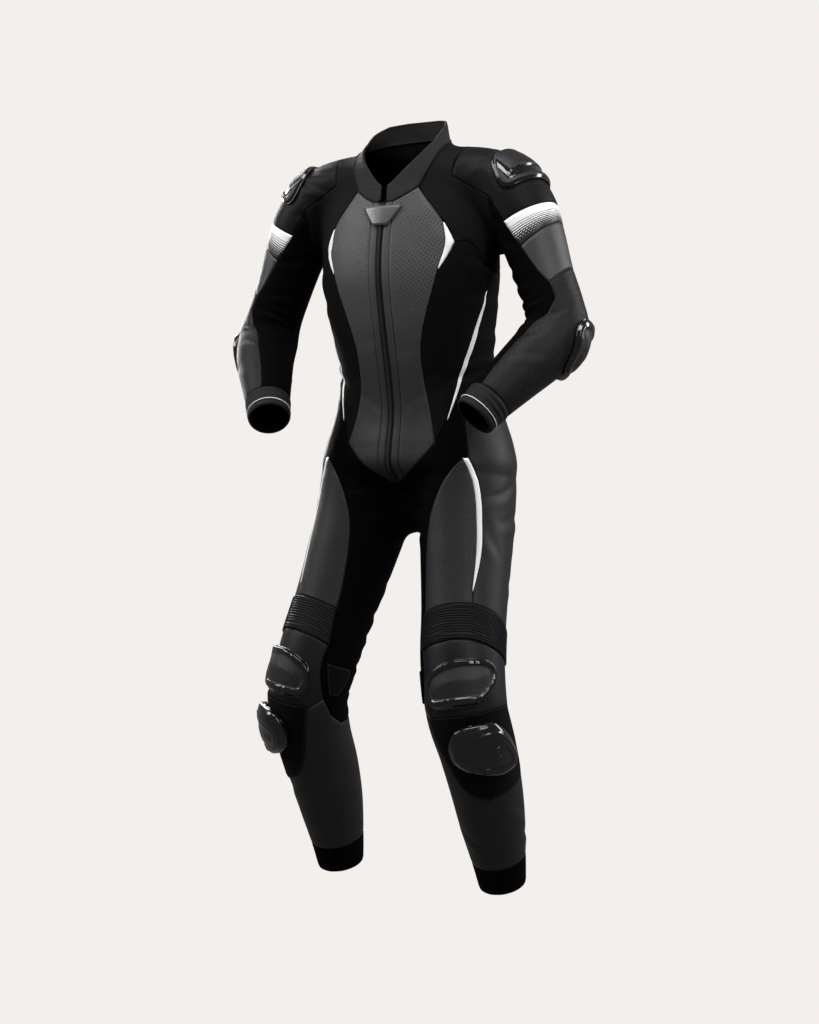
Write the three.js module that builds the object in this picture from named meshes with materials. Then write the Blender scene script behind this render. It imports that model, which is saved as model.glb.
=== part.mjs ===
// A one-piece motorcycle race suit, filled out and hollow, as it stands when it is worn.
// Millimetres. +X is the wearer's left, -Y the front, +Z up. The origin is between the shoulders, at the
// height where the suit hangs on its wearer.
import * as THREE from "three";

// Cloth and seams
const wall = 2; // leather or stretch cloth with its backing
const collarWall = 3; // padded
const seamGap = 0.3; // between two sewn pieces
const layGap = 0.9; // between a panel and what is sewn or riveted on it
const patchWall = 1.5; // fleece side of the touch tape, perforated patches
const blend = 34; // how softly trunk, sleeves, legs and neck run into each other

// Front closure
const zipHalf = 6;
const placketEdge = 19;
const zipRidge = 1;

// Ribs of the stretch inserts
const kneeRibs = 9;
const kneeRibHeight = 3.2;
const cuffRibs = 4;
const cuffRibHeight = 1.6;
const cuffLength = 42;
const ankleLength = 54;

// The worn form. Each row is one ring: its middle, and its half size across and from front to back.
const trunkRings = [
  { x: 0, y: 6, z: 30, wide: 60, deep: 62 },
  { x: 0, y: 0, z: -10, wide: 92, deep: 74 },
  { x: 0, y: 1, z: -60, wide: 142, deep: 90 },
  { x: 0, y: 1, z: -120, wide: 164, deep: 107 },
  { x: 0, y: 3, z: -190, wide: 168, deep: 118 },
  { x: 0, y: 9, z: -250, wide: 162, deep: 115 },
  { x: 0, y: 20, z: -320, wide: 151, deep: 110 },
  { x: 0, y: 32, z: -400, wide: 141, deep: 104 },
  { x: 0, y: 38, z: -450, wide: 147, deep: 108 },
  { x: 0, y: 40, z: -500, wide: 166, deep: 118 },
  { x: 0, y: 38, z: -545, wide: 166, deep: 116 },
  { x: 0, y: 34, z: -586, wide: 100, deep: 72 },
];
const neckRings = [
  { x: 0, y: -9, z: 120, wide: 66, deep: 74 },
  { x: 0, y: -9, z: 60, wide: 67, deep: 75 },
  { x: 0, y: -9, z: 20, wide: 68, deep: 76 },
  { x: 0, y: -9, z: -20, wide: 69, deep: 77 },
  { x: 0, y: -6, z: -60, wide: 68, deep: 76 },
  { x: 0, y: 4, z: -120, wide: 60, deep: 70 },
];
const sleeveRings = [
  { x: 0, y: 12, z: -36, wide: 46, deep: 62 },
  { x: 60, y: 12, z: -28, wide: 48, deep: 68 },
  { x: 122, y: 12, z: -32, wide: 52, deep: 72 },
  { x: 178, y: 10, z: -54, wide: 58, deep: 70 },
  { x: 217, y: 6, z: -96, wide: 58, deep: 66 },
  { x: 240, y: 2, z: -150, wide: 54, deep: 60 },
  { x: 261, y: -1, z: -210, wide: 50, deep: 54 },
  { x: 281, y: -4, z: -264, wide: 50, deep: 53 },
  { x: 289, y: -13, z: -306, wide: 55, deep: 54 },
  { x: 276, y: -44, z: -340, wide: 53, deep: 53 },
  { x: 249, y: -84, z: -380, wide: 47, deep: 47 },
  { x: 221, y: -122, z: -421, wide: 40, deep: 40 },
  { x: 200, y: -150, z: -453, wide: 36, deep: 36 },
];
const legRings = [
  { x: 88, y: 40, z: -440, wide: 60, deep: 90 },
  { x: 98, y: 36, z: -540, wide: 80, deep: 104 },
  { x: 105, y: 22, z: -620, wide: 81, deep: 102 },
  { x: 116, y: -6, z: -700, wide: 77, deep: 92 },
  { x: 130, y: -42, z: -790, wide: 73, deep: 80 },
  { x: 143, y: -74, z: -870, wide: 72, deep: 76 },
  { x: 158, y: -88, z: -950, wide: 69, deep: 75 },
  { x: 164, y: -61, z: -1020, wide: 65, deep: 70 },
  { x: 165, y: -26, z: -1090, wide: 62, deep: 69 },
  { x: 165, y: 2, z: -1160, wide: 57, deep: 63 },
  { x: 166, y: 26, z: -1230, wide: 48, deep: 52 },
  { x: 167, y: 40, z: -1279, wide: 42, deep: 45 },
];

const stationsPerRing = 6;
const vec = (x, y, z) => new THREE.Vector3(x, y, z);
const radians = THREE.MathUtils.degToRad;

// One named column of a table, as a smooth run through its rows.
function through(rows, column, at) {
  const i = Math.min(Math.floor(at), rows.length - 2);
  const t = at - i;
  const value = (k) => {
    if (k < 0) return 2 * rows[0][column] - rows[1][column];
    if (k >= rows.length) return 2 * rows.at(-1)[column] - rows.at(-2)[column];
    return rows[k][column];
  };
  const [a, b, c, d] = [value(i - 1), value(i), value(i + 1), value(i + 2)];
  const bend = (2 * a - 5 * b + 4 * c - d) * t * t + (3 * b - a - 3 * c + d) * t * t * t;
  return b + ((c - a) * t + bend) / 2;
}

// The row of a table at a value of its key column, between the two rows next to it.
function rowAt(rows, key, value) {
  const last = rows.length - 1;
  let i = 0;
  while (i < last - 1 && rows[i + 1][key] < value) i++;
  const share = THREE.MathUtils.clamp((value - rows[i][key]) / (rows[i + 1][key] - rows[i][key]), 0, 1);
  const mixed = {};
  for (const c of Object.keys(rows[0])) mixed[c] = rows[i][c] + share * (rows[i + 1][c] - rows[i][c]);
  return mixed;
}

// A tube through its rings: close stations along it, each with its own front and outer direction.
function tube(rings) {
  const stations = [];
  const last = rings.length - 1;
  let ahead = frontward;
  for (let k = 0; k <= last * stationsPerRing; k++) {
    const at = k / stationsPerRing;
    const centre = vec(...["x", "y", "z"].map((c) => through(rings, c, at)));
    stations.push({ centre, wide: through(rings, "wide", at), deep: through(rings, "deep", at) });
  }
  let along = 0;
  stations.forEach((s, k) => {
    const before = stations[Math.max(k - 1, 0)].centre;
    const after = stations[Math.min(k + 1, stations.length - 1)].centre;
    const tangent = after.clone().sub(before).normalize();
    ahead = ahead.clone().addScaledVector(tangent, -ahead.dot(tangent)).normalize();
    if (k) along += s.centre.distanceTo(before);
    Object.assign(s, { ahead, outer: ahead.clone().cross(tangent), along });
  });
  return stations;
}

const frontward = vec(0, -1, 0);
const trunk = tube(trunkRings);
const neck = tube(neckRings);
const sleeve = tube(sleeveRings);
const leg = tube(legRings);
const sleeveEnd = sleeve.at(-1).along;
const legEnd = leg.at(-1).along;

// How far a point lies outside one tube.
function outside(stations, p) {
  let best = Infinity;
  let found = 0;
  let share = 0;
  for (let k = 0; k < stations.length - 1; k++) {
    const a = stations[k].centre;
    const b = stations[k + 1].centre;
    const ux = b.x - a.x;
    const uy = b.y - a.y;
    const uz = b.z - a.z;
    const vx = p.x - a.x;
    const vy = p.y - a.y;
    const vz = p.z - a.z;
    const h = Math.min(1, Math.max(0, (ux * vx + uy * vy + uz * vz) / (ux * ux + uy * uy + uz * uz)));
    const d = (vx - h * ux) ** 2 + (vy - h * uy) ** 2 + (vz - h * uz) ** 2;
    if (d < best) [best, found, share] = [d, k, h];
  }
  const a = stations[found];
  const b = stations[found + 1];
  const mix = (x, y) => x + share * (y - x);
  const q = p.clone().sub(a.centre.clone().lerp(b.centre, share));
  const size = q.length();
  const wide = mix(a.wide, b.wide);
  const deep = mix(a.deep, b.deep);
  if (size < 1e-6) return -wide;
  const side = mix(q.dot(a.outer), q.dot(b.outer)) / size;
  const fore = mix(q.dot(a.ahead), q.dot(b.ahead)) / size;
  const lift = Math.sqrt(Math.max(0, 1 - side ** 2 - fore ** 2));
  return size - 1 / Math.hypot(side / wide, fore / deep, lift / Math.min(wide, deep));
}

function softMin(a, b) {
  const h = Math.max(blend - Math.abs(a - b), 0) / blend;
  return Math.min(a, b) - (h * h * blend) / 4;
}

// How far a point lies outside the worn form. The form is the same on both sides.
function distance(p) {
  const q = vec(Math.abs(p.x), p.y, p.z);
  return [trunk, neck, sleeve, leg].map((t) => outside(t, q)).reduce(softMin);
}

function slope(p) {
  const step = 0.5;
  const at = (x, y, z) => distance(vec(p.x + x, p.y + y, p.z + z));
  const along = (x, y, z) => at(x, y, z) - at(-x, -y, -z);
  return vec(along(step, 0, 0), along(0, step, 0), along(0, 0, step)).divideScalar(2 * step);
}

// Straight outwards from the form; square to the middle plane for a place that lies on it.
function normal(p) {
  const g = slope(p);
  if (Math.abs(p.x) < 1) g.x = 0;
  return g.normalize();
}

// The nearest place on the form, going straight up or down to it.
function settle(p) {
  const q = p.clone();
  for (let k = 0; k < 10; k++) {
    const away = distance(q);
    if (Math.abs(away) < 1e-4) break;
    const g = slope(q);
    q.addScaledVector(g, -away / g.lengthSq());
  }
  return q;
}

// Where a ray from inside leaves the form.
function cast(from, direction) {
  let far = 0;
  while (distance(from.clone().addScaledVector(direction, far)) < 0) far += 4;
  let near = far - 4;
  for (let k = 0; k < 16; k++) {
    const middle = (near + far) / 2;
    if (distance(from.clone().addScaledVector(direction, middle)) < 0) near = middle;
    else far = middle;
  }
  return from.clone().addScaledVector(direction, far);
}

// A place on the form beside a tube: millimetres down the tube, degrees round it from the front outwards.
function on(stations, { down, turn }) {
  const k = Math.max(1, stations.findIndex((s) => s.along >= Math.min(down, stations.at(-1).along)));
  const a = stations[k - 1];
  const b = stations[k];
  const share = THREE.MathUtils.clamp((down - a.along) / (b.along - a.along), 0, 1);
  const ahead = a.ahead.clone().lerp(b.ahead, share);
  const outer = a.outer.clone().lerp(b.outer, share);
  const direction = ahead.multiplyScalar(Math.cos(radians(turn)));
  direction.addScaledVector(outer, Math.sin(radians(turn)));
  return cast(a.centre.clone().lerp(b.centre, share), direction.normalize());
}

// A place on the front of the trunk, seen from the front.
const front = (x, z) => cast(vec(x, 20, z), frontward);
const near = (x, y, z) => settle(vec(x, y, z));
const onTrunk = (down, turn) => on(trunk, { down, turn });
const onSleeve = (down, turn) => on(sleeve, { down, turn });
const onLeg = (down, turn) => on(leg, { down, turn });

// A seam on the form: a smooth run through points, cut into even cells.
function seam(points, cells) {
  const run = new THREE.CatmullRomCurve3(points, false, "centripetal");
  return run.getSpacedPoints(cells).map(settle);
}

const spot = (down, turn) => ({ down, turn });
const seamOn = (stations, rows, cells) => seam(rows.map((r) => on(stations, r)), cells);
const join = (...runs) => runs.flatMap((run, k) => (k ? run.slice(1) : run));
const turned = (run) => [...run].reverse();

// The same run with more points, each new one straight between two old ones.
function split(run, times) {
  const fine = [run[0]];
  for (let k = 1; k < run.length; k++) {
    for (let m = 1; m <= times; m++) fine.push(run[k - 1].clone().lerp(run[k], m / times));
  }
  return fine;
}

// Rows of points on the form between rails, with the given cells between each two rails and the given
// first and last rows.
function fill(rails, cells, top, bottom) {
  const last = rails[0].length - 1;
  return rails[0].map((_, i) => {
    const row = [];
    let column = 0;
    rails.slice(1).forEach((right, r) => {
      const left = rails[r];
      for (let k = r ? 1 : 0; k <= cells[r]; k++) {
        const u = k / cells[r];
        const j = column + k;
        const p = left[i].clone().lerp(right[i], u);
        if (i === 0 && top) p.copy(top[j]);
        else if (i === last && bottom) p.copy(bottom[j]);
        else if (k > 0 && k < cells[r]) {
          const v = i / last;
          const off = (end, k) => end[j].clone().sub(left[k].clone().lerp(right[k], u));
          if (top) p.addScaledVector(off(top, 0), 1 - v);
          if (bottom) p.addScaledVector(off(bottom, last), v);
          p.copy(settle(p));
        }
        row.push(p);
      }
      column += cells[r];
    });
    return row;
  });
}

// The rows of one half, from the left side to the middle, carried on to the right side.
const across = (p) => vec(-p.x, p.y, p.z);
const both = (rows) => rows.map((row) => [...row, ...turned(row.slice(0, -1)).map(across)]);

// Steps along the form, square to an edge run and towards the run next to it.
function inward(run, next, by) {
  const steps = run.map((p, k) => {
    const along = run[Math.min(k + 1, run.length - 1)].clone().sub(run[Math.max(k - 1, 0)]);
    return normal(p).cross(along).normalize().multiplyScalar(by);
  });
  const sense = steps.reduce((sum, s, k) => sum + s.dot(next[k].clone().sub(run[k])), 0);
  return steps.map((s) => s.multiplyScalar(Math.sign(sense)));
}

// The rows with their outer edges drawn in, so that a seam gap is left to the next piece.
function trimmed(rows, by) {
  const column = (j) => rows.map((row) => row.at(j));
  const drawn = rows.map((row) => row.map((p) => p.clone()));
  inward(rows[0], rows[1], by).forEach((step, j) => drawn[0][j].add(step));
  inward(rows.at(-1), rows.at(-2), by).forEach((step, j) => drawn.at(-1)[j].add(step));
  inward(column(0), column(1), by).forEach((step, i) => drawn[i][0].add(step));
  inward(column(-1), column(-2), by).forEach((step, i) => drawn[i].at(-1).add(step));
  return drawn;
}

// Colour and roughness of each material
const looks = {
  chestLeather: [0x4e4e50, 0.46],
  placketLeather: [0x232325, 0.42],
  greyLeather: [0x47474a, 0.5],
  darkLeather: [0x2c2c2f, 0.5],
  whiteLeather: [0xe8e8e6, 0.5],
  flapLeather: [0x4c4c50, 0.3],
  stretch: [0x131315, 0.9],
  ribbedCloth: [0x18181a, 0.85],
  collarCloth: [0x2a2a2c, 0.8],
  zipTape: [0x141416, 0.6],
  fleece: [0x0e0e10, 1],
  labelCloth: [0x2a2a2c, 0.8],
  glossPlastic: [0x202022, 0.2],
  mattPlastic: [0x36363a, 0.4],
};

const group = new THREE.Group();
group.name = "race_suit";

// A closed body between an outer and an inner face with the same rows.
function add(name, look, outer, inner, mirrored) {
  const columns = outer[0].length;
  const half = outer.length * columns;
  const points = [...outer.flat(), ...inner.flat()];
  const faces = [];
  const quad = (a, b, c, d) => faces.push([a, b, c], [a, c, d]);
  for (let i = 0; i < outer.length - 1; i++) {
    for (let j = 0; j < columns - 1; j++) {
      const k = i * columns + j;
      quad(k, k + columns, k + columns + 1, k + 1);
      quad(half + k, half + k + 1, half + k + columns + 1, half + k + columns);
    }
    const k = i * columns;
    const e = k + columns - 1;
    quad(k, half + k, half + k + columns, k + columns);
    quad(e, e + columns, half + e + columns, half + e);
  }
  for (let j = 0; j < columns - 1; j++) {
    const k = half - columns + j;
    quad(j, j + 1, half + j + 1, half + j);
    quad(k, half + k, half + k + 1, k + 1);
  }
  let volume = 0;
  for (const [a, b, c] of faces) volume += points[a].dot(points[b].clone().cross(points[c]));
  const flip = volume < 0 !== mirrored;
  const geometry = new THREE.BufferGeometry();
  geometry.setAttribute("position", new THREE.Float32BufferAttribute(
    points.flatMap((p) => [mirrored ? -p.x : p.x, p.y, p.z]), 3));
  geometry.setIndex(faces.flatMap(([a, b, c]) => (flip ? [a, c, b] : [a, b, c])));
  const [color, roughness] = look;
  const material = new THREE.MeshStandardMaterial({ color, roughness, metalness: 0 });
  const mesh = new THREE.Mesh(geometry, material);
  mesh.name = name;
  group.add(mesh);
}

// A piece of cloth or plastic along the form. base is how far its inner face lies outside the form,
// relief what its outer face is raised at a row and column, both as shares from 0 to 1.
const cloth = { base: -wall, thick: wall, relief: () => 0, trim: seamGap / 2, pair: true };
function piece(name, look, rows, shape = {}) {
  const { base, thick, relief, trim, pair } = { ...cloth, ...shape };
  const edge = trim ? trimmed(rows, trim) : rows;
  const last = rows.length - 1;
  const end = rows[0].length - 1;
  const level = (height) => edge.map((row, i) => row.map((p, j) => {
    const rise = height(i / last, j / end, i, j);
    return p.clone().addScaledVector(normal(p), rise);
  }));
  const outer = level((v, u, i, j) => base + thick + relief(v, u, i, j));
  const inner = level(() => base);
  if (!pair) {
    add(name, look, outer, inner, false);
    return;
  }
  add(`${name}_left`, look, outer, inner, false);
  add(`${name}_right`, look, outer, inner, true);
}

// Rows for something laid on a limb: each row of the table is its two ends at one height.
function laid(stations, table, rows, columns) {
  const top = table[0].down;
  const bottom = table.at(-1).down;
  const grid = [];
  for (let i = 0; i <= rows; i++) {
    const row = rowAt(table, "down", top + (i / rows) * (bottom - top));
    const step = (row.to - row.from) / columns;
    const turns = Array.from({ length: columns + 1 }, (_, j) => row.from + j * step);
    grid.push(turns.map((turn) => on(stations, { down: row.down, turn })));
  }
  return grid;
}

// Collar seam and collar edge, round the neck from the front.
const neckline = [
  { turn: 0, z: -82 },
  { turn: 20, z: -76 },
  { turn: 44, z: -58 },
  { turn: 60, z: -25 },
  { turn: 75, z: 5 },
  { turn: 95, z: 26 },
  { turn: 120, z: 40 },
  { turn: 150, z: 47 },
  { turn: 180, z: 50 },
];
const collarEdge = [
  { turn: 0, z: -58 },
  { turn: 8, z: -50 },
  { turn: 30, z: -22 },
  { turn: 60, z: 14 },
  { turn: 90, z: 50 },
  { turn: 120, z: 73 },
  { turn: 150, z: 82 },
  { turn: 180, z: 84 },
];
function roundNeck(table, turn, wide, deep) {
  const angle = radians(turn);
  return near(wide * Math.sin(angle), -10 - deep * Math.cos(angle), rowAt(table, "turn", turn).z);
}
const neckTurn = { zip: 4.3, placket: 13.7, chest: 44, ridge: 95, back: 180 };
const neckRun = (from, to, cells) => Array.from({ length: cells + 1 }, (_, k) => (
  roundNeck(neckline, from + (k / cells) * (to - from), 80, 85)));

// Named places where seams meet, on the wearer's left
const chestTop = roundNeck(neckline, neckTurn.chest, 80, 85);
const crescentTop = front(108, -118);
const crescentTip = front(126, -153);
const crescentEnd = front(103, -200);
const hipFront = front(87, -496);
const zipEnd = front(0, -570);
const armpitFront = near(163, -30, -188);
const armpitBack = near(165, 48, -192);
const ridgeIn = roundNeck(neckline, neckTurn.ridge, 80, 85);
const ridgeOut = onSleeve(117, 88);
const shoulderFront = onSleeve(117, -7);
const shoulderBack = onSleeve(117, 187);
const capFront = onSleeve(206, -13);
const capBack = onSleeve(206, 193);
const hipSide = onTrunk(438, 60);
const waistBack = onTrunk(425, 130);
const crotchBack = near(3, 96, -622);

// Seams of the chest
const chestUpper = seam([chestTop, front(83, -86), crescentTop], 5);
const crescentInner = seam([front(107.3, -119), front(113, -153), front(102.3, -199)], 6);
const crescentOuter = join(
  seam([front(108.9, -119), front(119, -136), crescentTip], 3),
  seam([crescentTip, front(117, -176), front(104.2, -199)], 3),
);
const chestLower = seam([
  crescentEnd, front(81, -266), front(65, -321), front(62, -369), front(70, -430), hipFront,
], 9);
const chestEdge = [...chestUpper.slice(0, -1), ...crescentInner, ...chestLower.slice(1)];
const placketRun = (x, top) => {
  const foot = -569 + 0.62 * x;
  const heights = [0, 0.2, 0.4, 0.6, 0.8, 1].map((t) => top + t * (foot - top));
  return seam(heights.map((z) => front(x, z)), 20);
};
const zipEdge = placketRun(zipHalf, -81);
const placketOuter = placketRun(placketEdge, -79);
const hipRun = seam([placketOuter.at(-1), front(52, -534), hipFront], 3);
const neckPlacket = [zipEdge[0], placketOuter[0]];
const neckChest = [
  placketOuter[0], ...neckRun(neckTurn.placket, neckTurn.chest, 3).slice(1, -1), chestUpper[0],
];
const neckYoke = [chestUpper[0], ...neckRun(neckTurn.chest, neckTurn.ridge, 3).slice(1)];
const neckBack = neckRun(neckTurn.ridge, neckTurn.back, 3);

// Seams round the arm hole and the shoulder
const armpitSeam = seam([crescentTip, near(148, -48, -152), armpitFront], 3);
const armholeFront = seam([capFront, near(180, -50, -135), armpitFront], 2);
const armholeUnder = seam([armpitFront, near(178, 10, -206), armpitBack], 4);
const armholeBack = seam([armpitBack, near(184, 64, -135), capBack], 3);
const shoulderTopFront = seamOn(sleeve, [spot(117, 88), spot(117, 40), spot(117, -7)], 2);
const shoulderTopBack = seamOn(sleeve, [spot(117, 88), spot(117, 138), spot(117, 187)], 4);
const shoulderLowFront = seamOn(sleeve, [spot(117, -7), spot(173, -16), spot(206, -13)], 3);
const shoulderLowBack = seamOn(sleeve, [spot(117, 187), spot(173, 194), spot(206, 193)], 3);

// Side of the trunk: the white stripe and the seams next to it
const sideStripe = [
  { down: 262, front: 81.7, back: 82.3 },
  { down: 307, front: 75.4, back: 78 },
  { down: 350, front: 69.6, back: 73.2 },
  { down: 392, front: 63.5, back: 66.8 },
  { down: 435, front: 55.6, back: 57.6 },
  { down: 481, front: 47.7, back: 48.3 },
];
const stripeFront = seamOn(trunk, sideStripe.map((r) => (spot(r.down, r.front))), 9);
const stripeBack = seamOn(trunk, sideStripe.map((r) => (spot(r.down, r.back))), 9);
const stripeAbove = seam([armpitFront, onTrunk(228, 80), onTrunk(259, 82.3)], 3).slice(0, -1);
const hipTip = onTrunk(484, 48);
const sideBack = seam([
  armpitBack, onTrunk(240, 122), onTrunk(300, 128), onTrunk(360, 130), waistBack,
], 12);
const waistSide = seamOn(trunk, [spot(438, 60), spot(428, 95), spot(425, 130)], 3);
const waistRear = seamOn(trunk, [spot(425, 130), spot(425, 155), spot(425, 180)], 3);

// Seams of the sleeve
const sleeveSeam = [
  { down: 206, turn: -13 },
  { down: 267, turn: -14 },
  { down: 318, turn: 0 },
  { down: 366, turn: 15 },
  { down: 392, turn: 28 },
  { down: 419, turn: 31 },
  { down: 440, turn: 20 },
  { down: 489, turn: 0 },
  { down: 530, turn: -6 },
  { down: 603, turn: -8 },
];
const cuffTop = sleeveEnd - cuffLength;
const sleeveFront1 = seamOn(sleeve, sleeveSeam.slice(0, 2), 3);
const sleeveFront2 = seamOn(sleeve, sleeveSeam.slice(1, 3), 2);
const sleeveFront3 = seamOn(sleeve, sleeveSeam.slice(2, 5), 3);
const sleeveFront4 = seamOn(sleeve, [...sleeveSeam.slice(4), spot(cuffTop, -2)], 8);
const sleeveBack1 = seamOn(sleeve, [spot(206, 193), spot(262, 194)], 3);
const sleeveBack2 = seamOn(sleeve, [spot(262, 194), spot(310, 190)], 2);
const sleeveBack3 = seamOn(sleeve, [spot(310, 190), spot(385, 185)], 3);
const sleeveBack4 = seamOn(sleeve, [
  spot(385, 185), spot(460, 186), spot(540, 190), spot(cuffTop, 190),
], 8);
const sleeveTop = (from, to, cells) => seamOn(sleeve, [
  spot(from, 89), spot((from + to) / 2, 90), spot(to, 90),
], cells);
const bandTop = seamOn(sleeve, [spot(267, -14), spot(262, 38), spot(258, 90)], 4);
const bandTopBack = seamOn(sleeve, [spot(258, 90), spot(259, 142), spot(262, 194)], 4);
const bandLow = seamOn(sleeve, [spot(318, 0), spot(301, 45), spot(289, 90)], 4);
const bandLowBack = seamOn(sleeve, [spot(289, 90), spot(294, 140), spot(310, 190)], 4);
const elbowSeam = seamOn(sleeve, [spot(392, 28), spot(380, 58), spot(372, 90)], 4);
const elbowSeamBack = seamOn(sleeve, [spot(372, 90), spot(375, 140), spot(385, 185)], 4);
const cuffRun = (down, from, to, cells) => Array.from({ length: cells + 1 }, (_, k) => (
  onSleeve(down, from + (k / cells) * (to - from))));

// Seams of the leg
const thighTop = onLeg(93, 22);
const stripeTop = onLeg(93, 27.5);
const kneeTopTurn = { inner: -34, stripe: 37, back: 125 };
const thighInner = seamOn(leg, [
  spot(93, 22), spot(122, 8), spot(168, -5), spot(221, -17),
  spot(274, -25), spot(353, -33), spot(384, kneeTopTurn.inner),
], 12);
const thighStripe = [
  { down: 93, front: 22, back: 27.5 },
  { down: 135, front: 31, back: 37 },
  { down: 183, front: 35.5, back: 42 },
  { down: 276, front: 39, back: 45.5 },
  { down: 330, front: 37.5, back: 40.5 },
  { down: 351, front: 36.3, back: 37.2 },
];
const thighStripeFront = seamOn(leg, thighStripe.map((r) => (spot(r.down, r.front))), 11);
const thighStripeBack = seamOn(leg, thighStripe.map((r) => (spot(r.down, r.back))), 11);
const stripeFoot = onLeg(374, kneeTopTurn.stripe);
const hipOuter = seam([hipSide, onTrunk(478, 60), stripeTop], 3);
const seatSeam = seam([
  waistBack, near(100, 148, -470), near(72, 152, -535), near(34, 132, -590), crotchBack,
], 6);
const crotch = [
  ...seam([zipEnd, near(0, -42, -610), near(0, 0, -650), near(0, 55, -652), near(0, 88, -632)], 8),
  crotchBack,
];
const thighBack = seam([
  crotchBack, near(42, 108, -645), onLeg(268, 200), onLeg(332, 164), onLeg(402, 125),
], 9);
const ribTop = seamOn(leg, [spot(384, -34), spot(377, 0), spot(374, 37)], 3);
const ribTopOuter = seamOn(leg, [spot(374, 37), spot(384, 80), spot(402, 125)], 6);
const ribLow = seamOn(leg, [spot(442, -40), spot(434, 0), spot(433, 37)], 3);
const ribLowOuter = seamOn(leg, [spot(433, 37), spot(444, 80), spot(462, 125)], 6);
const ribInner = seamOn(leg, [spot(384, -34), spot(413, -37), spot(442, -40)], 4);
const ribBack = seamOn(leg, [spot(402, 125), spot(432, 125), spot(462, 125)], 4);
const kneeInner = seamOn(leg, [spot(442, -40), spot(475, -38), spot(500, -44), spot(524, -53)], 4);
const kneeBack = seamOn(leg, [spot(462, 125), spot(520, 125), spot(578, 125)], 4);
const shinTopInner = seamOn(leg, [spot(524, -53), spot(551, -69), spot(578, -90)], 2);
const shinTopBack = seamOn(leg, [spot(578, 125), spot(596, 172), spot(596, 226), spot(578, 270)], 6);
const kneeLow = seamOn(leg, [spot(524, -53), spot(546, -10), spot(560, 37)], 3);
const kneeLowOuter = seamOn(leg, [spot(560, 37), spot(572, 80), spot(578, 125)], 6);
const shinTurns = [
  { at: 0, turn: 125 },
  { at: 6, turn: 270 },
  { at: 8, turn: 307 },
  { at: 11, turn: 397 },
  { at: 17, turn: 485 },
];
const shinTurn = (j) => rowAt(shinTurns, "at", j).turn;
const ringOf = (down) => Array.from({ length: 18 }, (_, j) => onLeg(down, shinTurn(j)));

// Front of the trunk
const halfWidth = (run, x) => run.map((p) => front(x, p.z));
piece("front_panel", looks.chestLeather, fill([placketOuter, chestEdge], [3], neckChest, hipRun));
piece("placket", looks.placketLeather, fill([zipEdge, placketOuter], [1], neckPlacket), {
  relief: () => 0.5,
});
piece("zip", looks.zipTape, both(fill([zipEdge, halfWidth(zipEdge, 0)], [1])), {
  relief: (v, u, i, j) => (j === 1 ? zipRidge : -0.6), pair: false,
});
piece("chest_crescent", looks.whiteLeather, fill([crescentInner, crescentOuter], [1]));
const yokeOuter = join([ridgeIn, ridgeOut], shoulderTopFront, shoulderLowFront, armholeFront);
const yokeInner = [...chestUpper.slice(0, -1), ...crescentOuter.slice(0, 4)];
piece("shoulder_yoke", looks.stretch, fill([yokeInner, yokeOuter], [3], neckYoke, armpitSeam));
const sideEdge = [...crescentOuter.slice(3), ...chestLower.slice(1)];
const hipShort = split([hipFront, stripeFront.at(-1)], 3);
const stripeSide = [...stripeAbove, ...stripeFront];
piece("front_side", looks.stretch, fill([sideEdge, stripeSide], [3], armpitSeam, hipShort));
piece("side_stripe", looks.whiteLeather, fill([stripeFront, stripeBack], [1]));
const sideFoot = join([stripeBack.at(-1), hipSide], waistSide);
const sideFront = [...stripeAbove, ...stripeBack];
piece("side_panel", looks.stretch, fill([sideFront, sideBack], [4], armholeUnder, sideFoot));

// Back and seat
const backSide = join(
  [ridgeIn, ridgeOut], shoulderTopBack, shoulderLowBack, turned(armholeBack), sideBack,
);
const backHeights = [50, 40, 24, 6, -12, -32, -54, -77, -100, -130, -162, -192];
const waistDrop = (waistRear.at(-1).z - backHeights.at(-1)) / 12;
const backHeight = (k) => backHeights[k] ?? backHeights.at(-1) + (k - 11) * waistDrop;
const backMiddle = backSide.map((p, k) => near(0, 110, backHeight(k)));
backMiddle[0] = neckBack.at(-1);
backMiddle[backMiddle.length - 1] = waistRear.at(-1);
piece("back_panel", looks.darkLeather, both(fill([backSide, backMiddle], [3], neckBack, waistRear)), {
  pair: false, trim: 0.4,
});
const seatMiddle = seam([
  waistRear.at(-1), near(0, 150, -470), near(0, 152, -530), near(0, 128, -590), near(0, 96, -622),
], 6);
piece("seat_panel", looks.stretch, both(fill([seatSeam, seatMiddle], [3], waistRear)), { pair: false });

// Sleeve
const shoulderTopEdge = join(split(turned(shoulderTopFront), 2), shoulderTopBack);
piece("shoulder", looks.darkLeather, fill(
  [join(shoulderLowFront, sleeveFront1), sleeveTop(117, 258, 6), join(shoulderLowBack, sleeveBack1)],
  [4, 4], shoulderTopEdge, join(bandTop, bandTopBack),
));
piece("arm_band", looks.whiteLeather, fill([sleeveFront2, sleeveTop(258, 289, 2), sleeveBack2], [4, 4],
  join(bandTop, bandTopBack), join(bandLow, bandLowBack)));
piece("upper_arm", looks.greyLeather, fill([sleeveFront3, sleeveTop(289, 372, 3), sleeveBack3], [4, 4],
  join(bandLow, bandLowBack), join(elbowSeam, elbowSeamBack)));
const forearmFoot = cuffRun(cuffTop, -2, 190, 8);
piece("forearm", looks.greyLeather, fill([sleeveFront4, sleeveTop(372, cuffTop, 8), sleeveBack4], [4, 4],
  join(elbowSeam, elbowSeamBack), forearmFoot));
const underCuff = (down) => join(
  cuffRun(down, -2, -60, 2), cuffRun(down, -60, -130, 4), cuffRun(down, -130, -170, 3),
);
const sleeveFoot = underCuff(cuffTop);
const underGuide = (start, turn) => seam([
  start, onSleeve(300, turn), onSleeve(400, turn), onSleeve(480, turn - 5), onSleeve(560, turn),
  onSleeve(cuffTop, turn),
], 16);
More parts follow.
